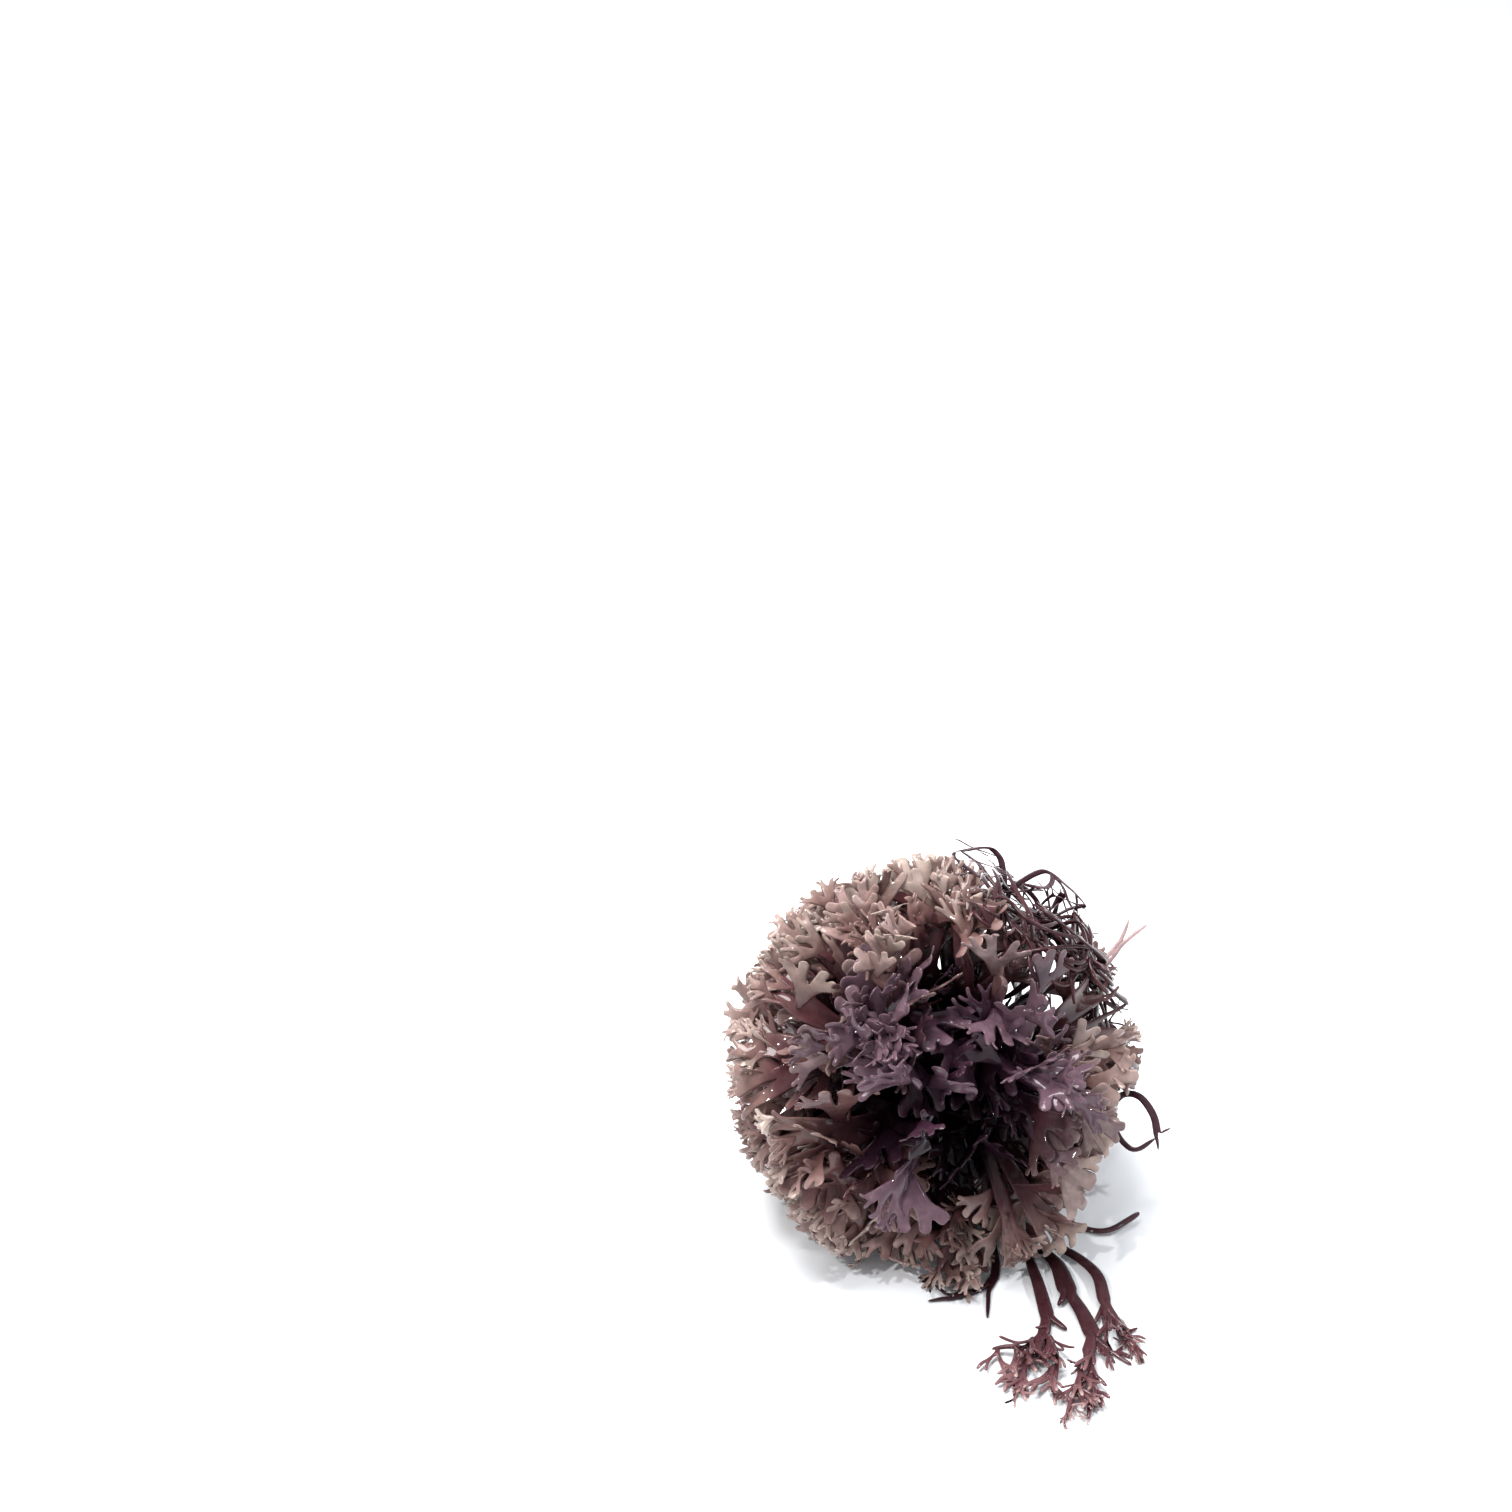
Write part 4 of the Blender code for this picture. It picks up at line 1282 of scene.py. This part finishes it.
def wander(rng, start, heading, length, steps, turn, shell):
    """A route that bends round the tuft at a given distance from its middle."""
    points = []
    point = start
    for _ in range(steps):
        turned = turn + rng.uniform(-WIRE_WANDER, WIRE_WANDER)
        heading = round_the_ball(point, heading, WIRE_FLATTEN, shell, WIRE_HOLD, turned)
        heading.normalize()
        point = point + heading * (length / steps)
        points.append(point)
    return points, heading


def wiry_frond(number, direction):
    """A narrow dark frond that leaves the tuft and bends round its shoulder both ways."""
    rng = random.Random(WIRE_SEEDS[number])
    shell = WIRE_SHELLS[number]
    stalk = slot_route(direction, (STALK_START, 22.0, 34.0, shell - WIRE_CLIMB))
    out = (stalk[-1] - stalk[-2]).normalized()
    radial = outwards(stalk[-1])
    round_the_net = TOWARDS_VIEWER.cross(radial).normalized()
    branches = []
    for sign in (-1, 1):
        tangent = Matrix.Rotation(rng.uniform(*WIRE_ASIDE), 3, radial) @ (round_the_net * sign)
        heading = (out * WIRE_OUTWARDS + tangent).normalized()
        length = rng.uniform(*WIRE_BOUGH)
        bough, bough_heading = wander(rng, stalk[-1], heading, length, 4, 0.0, shell)
        twigs = []
        for side in (-1, 1):
            turned = Matrix.Rotation(-side * rng.uniform(*WIRE_TWIG_ANGLE), 3, TOWARDS_VIEWER)
            twig_shell = shell + rng.uniform(*WIRE_SHELL_VARIES)
            length = rng.uniform(*WIRE_TWIG)
            twig, _ = wander(rng, bough[-1], turned @ bough_heading, length, 3,
                             side * WIRE_TWIG_TURN, twig_shell)
            twigs.append((twig, *WIRE_TWIG_HALVES))
        branches.append((bough, *WIRE_BOUGH_HALVES, *twigs))
    return (stalk, *WIRE_STALK_HALVES, *order_by_side(stalk, branches))


def order_by_side(stalk, branches):
    """The two branches of a fork, the left one first."""
    forward = stalk[-1] - stalk[-2]
    right = forward.cross(TOWARDS_VIEWER)
    return sorted(branches, key=lambda b: (b[0][-1] - stalk[-1]).dot(right))


def net_sheet(number, direction):
    """A wiry frond with the thin strands that it adds to the net."""
    rng = random.Random(SEED * 3000 + number)
    sheet = smooth_strap(wiry_frond(number, direction), towards_viewer)
    starts = [i for i, r in enumerate(sheet.reach) if r > NET_START]
    add_net_strands(sheet, rng, starts, NET_STRANDS, *NET_STRAND_REACH)
    return sheet


def wire_growth(point, reach):
    """Twigs of the net lie round the ball and cross each other."""
    radial = outwards(point)
    round_it = radial.cross(TOWARDS_VIEWER).normalized()
    crowd = share_between(reach, *TWIG_CROWD)
    return crowd, 1.0, round_it * (1.0 if int(point.x * 3.0) % 2 else -1.0) + radial * 0.1, radial


def tassel_growth(point, reach):
    """Narrow fingers that lie forward along the surface from the outer straps."""
    side = Vector((math.sin(point.x * 0.9) * 0.5, -1.0, 0.05 if point.z < 4.0 else -0.1))
    size = 0.4 + 0.6 * share_between(point.y, -90.0, -79.0)
    return share_between(reach, *TASSEL_CROWD), size, side.normalized(), Vector((0, 0, 1))


def hanging_part(point):
    """1 on the broad branch of the forked strand that hangs in front of the tuft."""
    broad = share_between(point.y, -18.0, -24.0) * share_between(point.z, 1.2, 3.0)
    return broad * share_between(point.x, 11.5, 9.0)


def hanging_growth(point, reach):
    """Short fingers hang over the surface in front of the tuft."""
    way = Vector((math.sin(point.x * 0.7) * 0.6, -0.8, -0.35 if point.z > 6.0 else 0.0))
    return hanging_part(point), 0.9, way.normalized(), Vector((0.0, -0.5, 0.85))


WIRE_TWIGS = young_fronds("wire_twigs", 12, (WIRE_TWIG_CUT,), SEED + 2)
TASSELS = young_fronds("tassels", 12, (TASSEL,), SEED + 3)
for wire, place in enumerate(WIRE_PLACES):
    name = "wiry_frond_%d" % (wire + 1)
    sheet = net_sheet(wire, directions[place])
    piece = piece_from_sheet(name, sheet, dark_skin, WIRE_THICKNESS, WIRE_TINT, wire_growth)
    sprout(piece, WIRE_TWIGS, WIRE_SEED + wire, TWIG_HABIT)
    finish_piece(piece, name, "dark_strap", rounded=True)

rooted = {
    "pale_wisp": (WISP, WISP_PLACE, (24.0, 38.0), towards_viewer, wisp_skin, None),
    "looped_strand": (LOOP, LOOP_PLACE, (24.0, 38.0), towards_viewer, dark_skin, None),
    "trailing_stem": (TRAIL, TRAIL_PLACE, (24.0, 38.0), trail_facing, red_skin, None),
    "forked_strand": (FORKED, FORKED_PLACE, (22.0,), trail_facing, frond_skin, hanging_growth),
}
for name, (branch, place, stops, facing_way, skin, growth) in rooted.items():
    stalk = slot_route(directions[place], (STALK_START,) + stops)
    sheet = smooth_strap(branch, facing_way, stalk)
    if growth:
        sheet.reach = [r * HANGING_DARK + hanging_part(p) * (1.0 - HANGING_DARK)
                       for p, r in zip(sheet.points, sheet.reach)]
    piece = piece_from_sheet(name, sheet, skin, ROOTED_THICKNESS, STRAP_TINT, growth)
    if growth:
        sprout(piece, HAND_KINDS, HANGING_SEED, HANGING_HABIT)
    finish_piece(piece, name, "pale_wisp" if skin == wisp_skin else "red_strap")

for name, branch in FLOOR_STRAPS.items():
    sheet = smooth_strap(branch, straight_up)
    if name == "side_strap":
        piece = piece_from_sheet(name, sheet, dark_skin, FLOOR_THICKNESS, STRAP_TINT)
    else:
        piece = piece_from_sheet(name, sheet, red_skin, FLOOR_THICKNESS, STRAP_TINT, tassel_growth)
        sprout(piece, TASSELS, TASSEL_SEED + len(name), TASSEL_HABIT)
    finish_piece(piece, name, "red_strap")

# The holdfast
# The small tough cushion that the whole plant grew from, dark and lumpy, hidden among the stalks.
# It is a ball pushed in and out by a slow noise.
HOLDFAST_RADIUS = 8.6
LUMPS = 0.10
LUMP_WAVES = 0.35
HOLDFAST_STOPS = [
    (0.0, (0.006, 0.002, 0.004)),
    (1.0, (0.030, 0.014, 0.018)),
]
holdfast_skin = wet_skin("holdfast_skin", HOLDFAST_STOPS, settings={"IOR": 1.42}, gloss=0.3)
cushion = bmesh.new()
bmesh.ops.create_icosphere(cushion, subdivisions=4, radius=HOLDFAST_RADIUS)
for vertex in cushion.verts:
    lump = noise.noise(vertex.co * LUMP_WAVES) * LUMPS
    vertex.co = (vertex.co * (1.0 - LUMPS + lump) + HOLDFAST_CENTRE + SHIFT) * MM
holdfast_mesh = bpy.data.meshes.new("skin_holdfast")
cushion.to_mesh(holdfast_mesh)
cushion.free()
holdfast_mesh.materials.append(holdfast_skin)
holdfast = bpy.data.objects.new("skin_holdfast", holdfast_mesh)
bpy.context.scene.collection.objects.link(holdfast)
finish_piece(holdfast, "holdfast", "holdfast")

for collection in (HAND_KINDS, INNER_KINDS, WIRE_TWIGS, TASSELS):
    for leaf in list(collection.objects):
        bpy.data.objects.remove(leaf, do_unlink=True)
    bpy.data.collections.remove(collection)

# The surface and the light
# A plain white worktop under a wide soft light from above and behind, with a small lamp at each
# side that gives the wet skin its bright points.
FLOOR_HALF = 3.0
WHITE = (0.86, 0.88, 0.90, 1.0)
WHITE_ROUGHNESS = 0.6
SKY = (0.94, 0.96, 1.0, 1.0)
SKY_STRENGTH = 0.62
corners = [(-FLOOR_HALF, -FLOOR_HALF, 0.0), (FLOOR_HALF, -FLOOR_HALF, 0.0),
           (FLOOR_HALF, FLOOR_HALF, 0.0), (-FLOOR_HALF, FLOOR_HALF, 0.0)]
floor_mesh = bpy.data.meshes.new("worktop")
floor_mesh.from_pydata(corners, [], [(0, 1, 2, 3)])
floor = bpy.data.objects.new("worktop", floor_mesh)
bpy.context.scene.collection.objects.link(floor)
white = bpy.data.materials.new("white_worktop")
white.use_nodes = True
matt = white.node_tree.nodes["Principled BSDF"]
matt.inputs["Base Color"].default_value = WHITE
matt.inputs["Roughness"].default_value = WHITE_ROUGHNESS
floor_mesh.materials.append(white)

world = bpy.data.worlds.new("studio")
world.use_nodes = True
sky = world.node_tree.nodes["Background"]
sky.inputs["Color"].default_value = SKY
sky.inputs["Strength"].default_value = SKY_STRENGTH
bpy.context.scene.world = world
bpy.context.scene.view_settings.view_transform = "Standard"

for name, place, aim_height, size, watts, colour in (
    ("top_light", (-0.3, 0.25, 1.3), 0.04, 0.8, 29.0, (1.0, 1.0, 1.0)),
    ("left_lamp", (-0.55, -0.45, 0.95), 0.05, 0.05, 5.0, (1.0, 0.98, 0.96)),
    ("right_lamp", (0.60, -0.15, 0.90), 0.05, 0.06, 4.0, (0.94, 0.97, 1.0)),
):
    lamp = bpy.data.lights.new(name, "AREA")
    lamp.shape = "DISK"
    lamp.size = size
    lamp.energy = watts
    lamp.color = colour
    holder = bpy.data.objects.new(name, lamp)
    holder.location = place
    aim = Vector((0.0, 0.0, aim_height))
    holder.rotation_euler = (aim - Vector(place)).to_track_quat("-Z", "Y").to_euler()
    bpy.context.scene.collection.objects.link(holder)
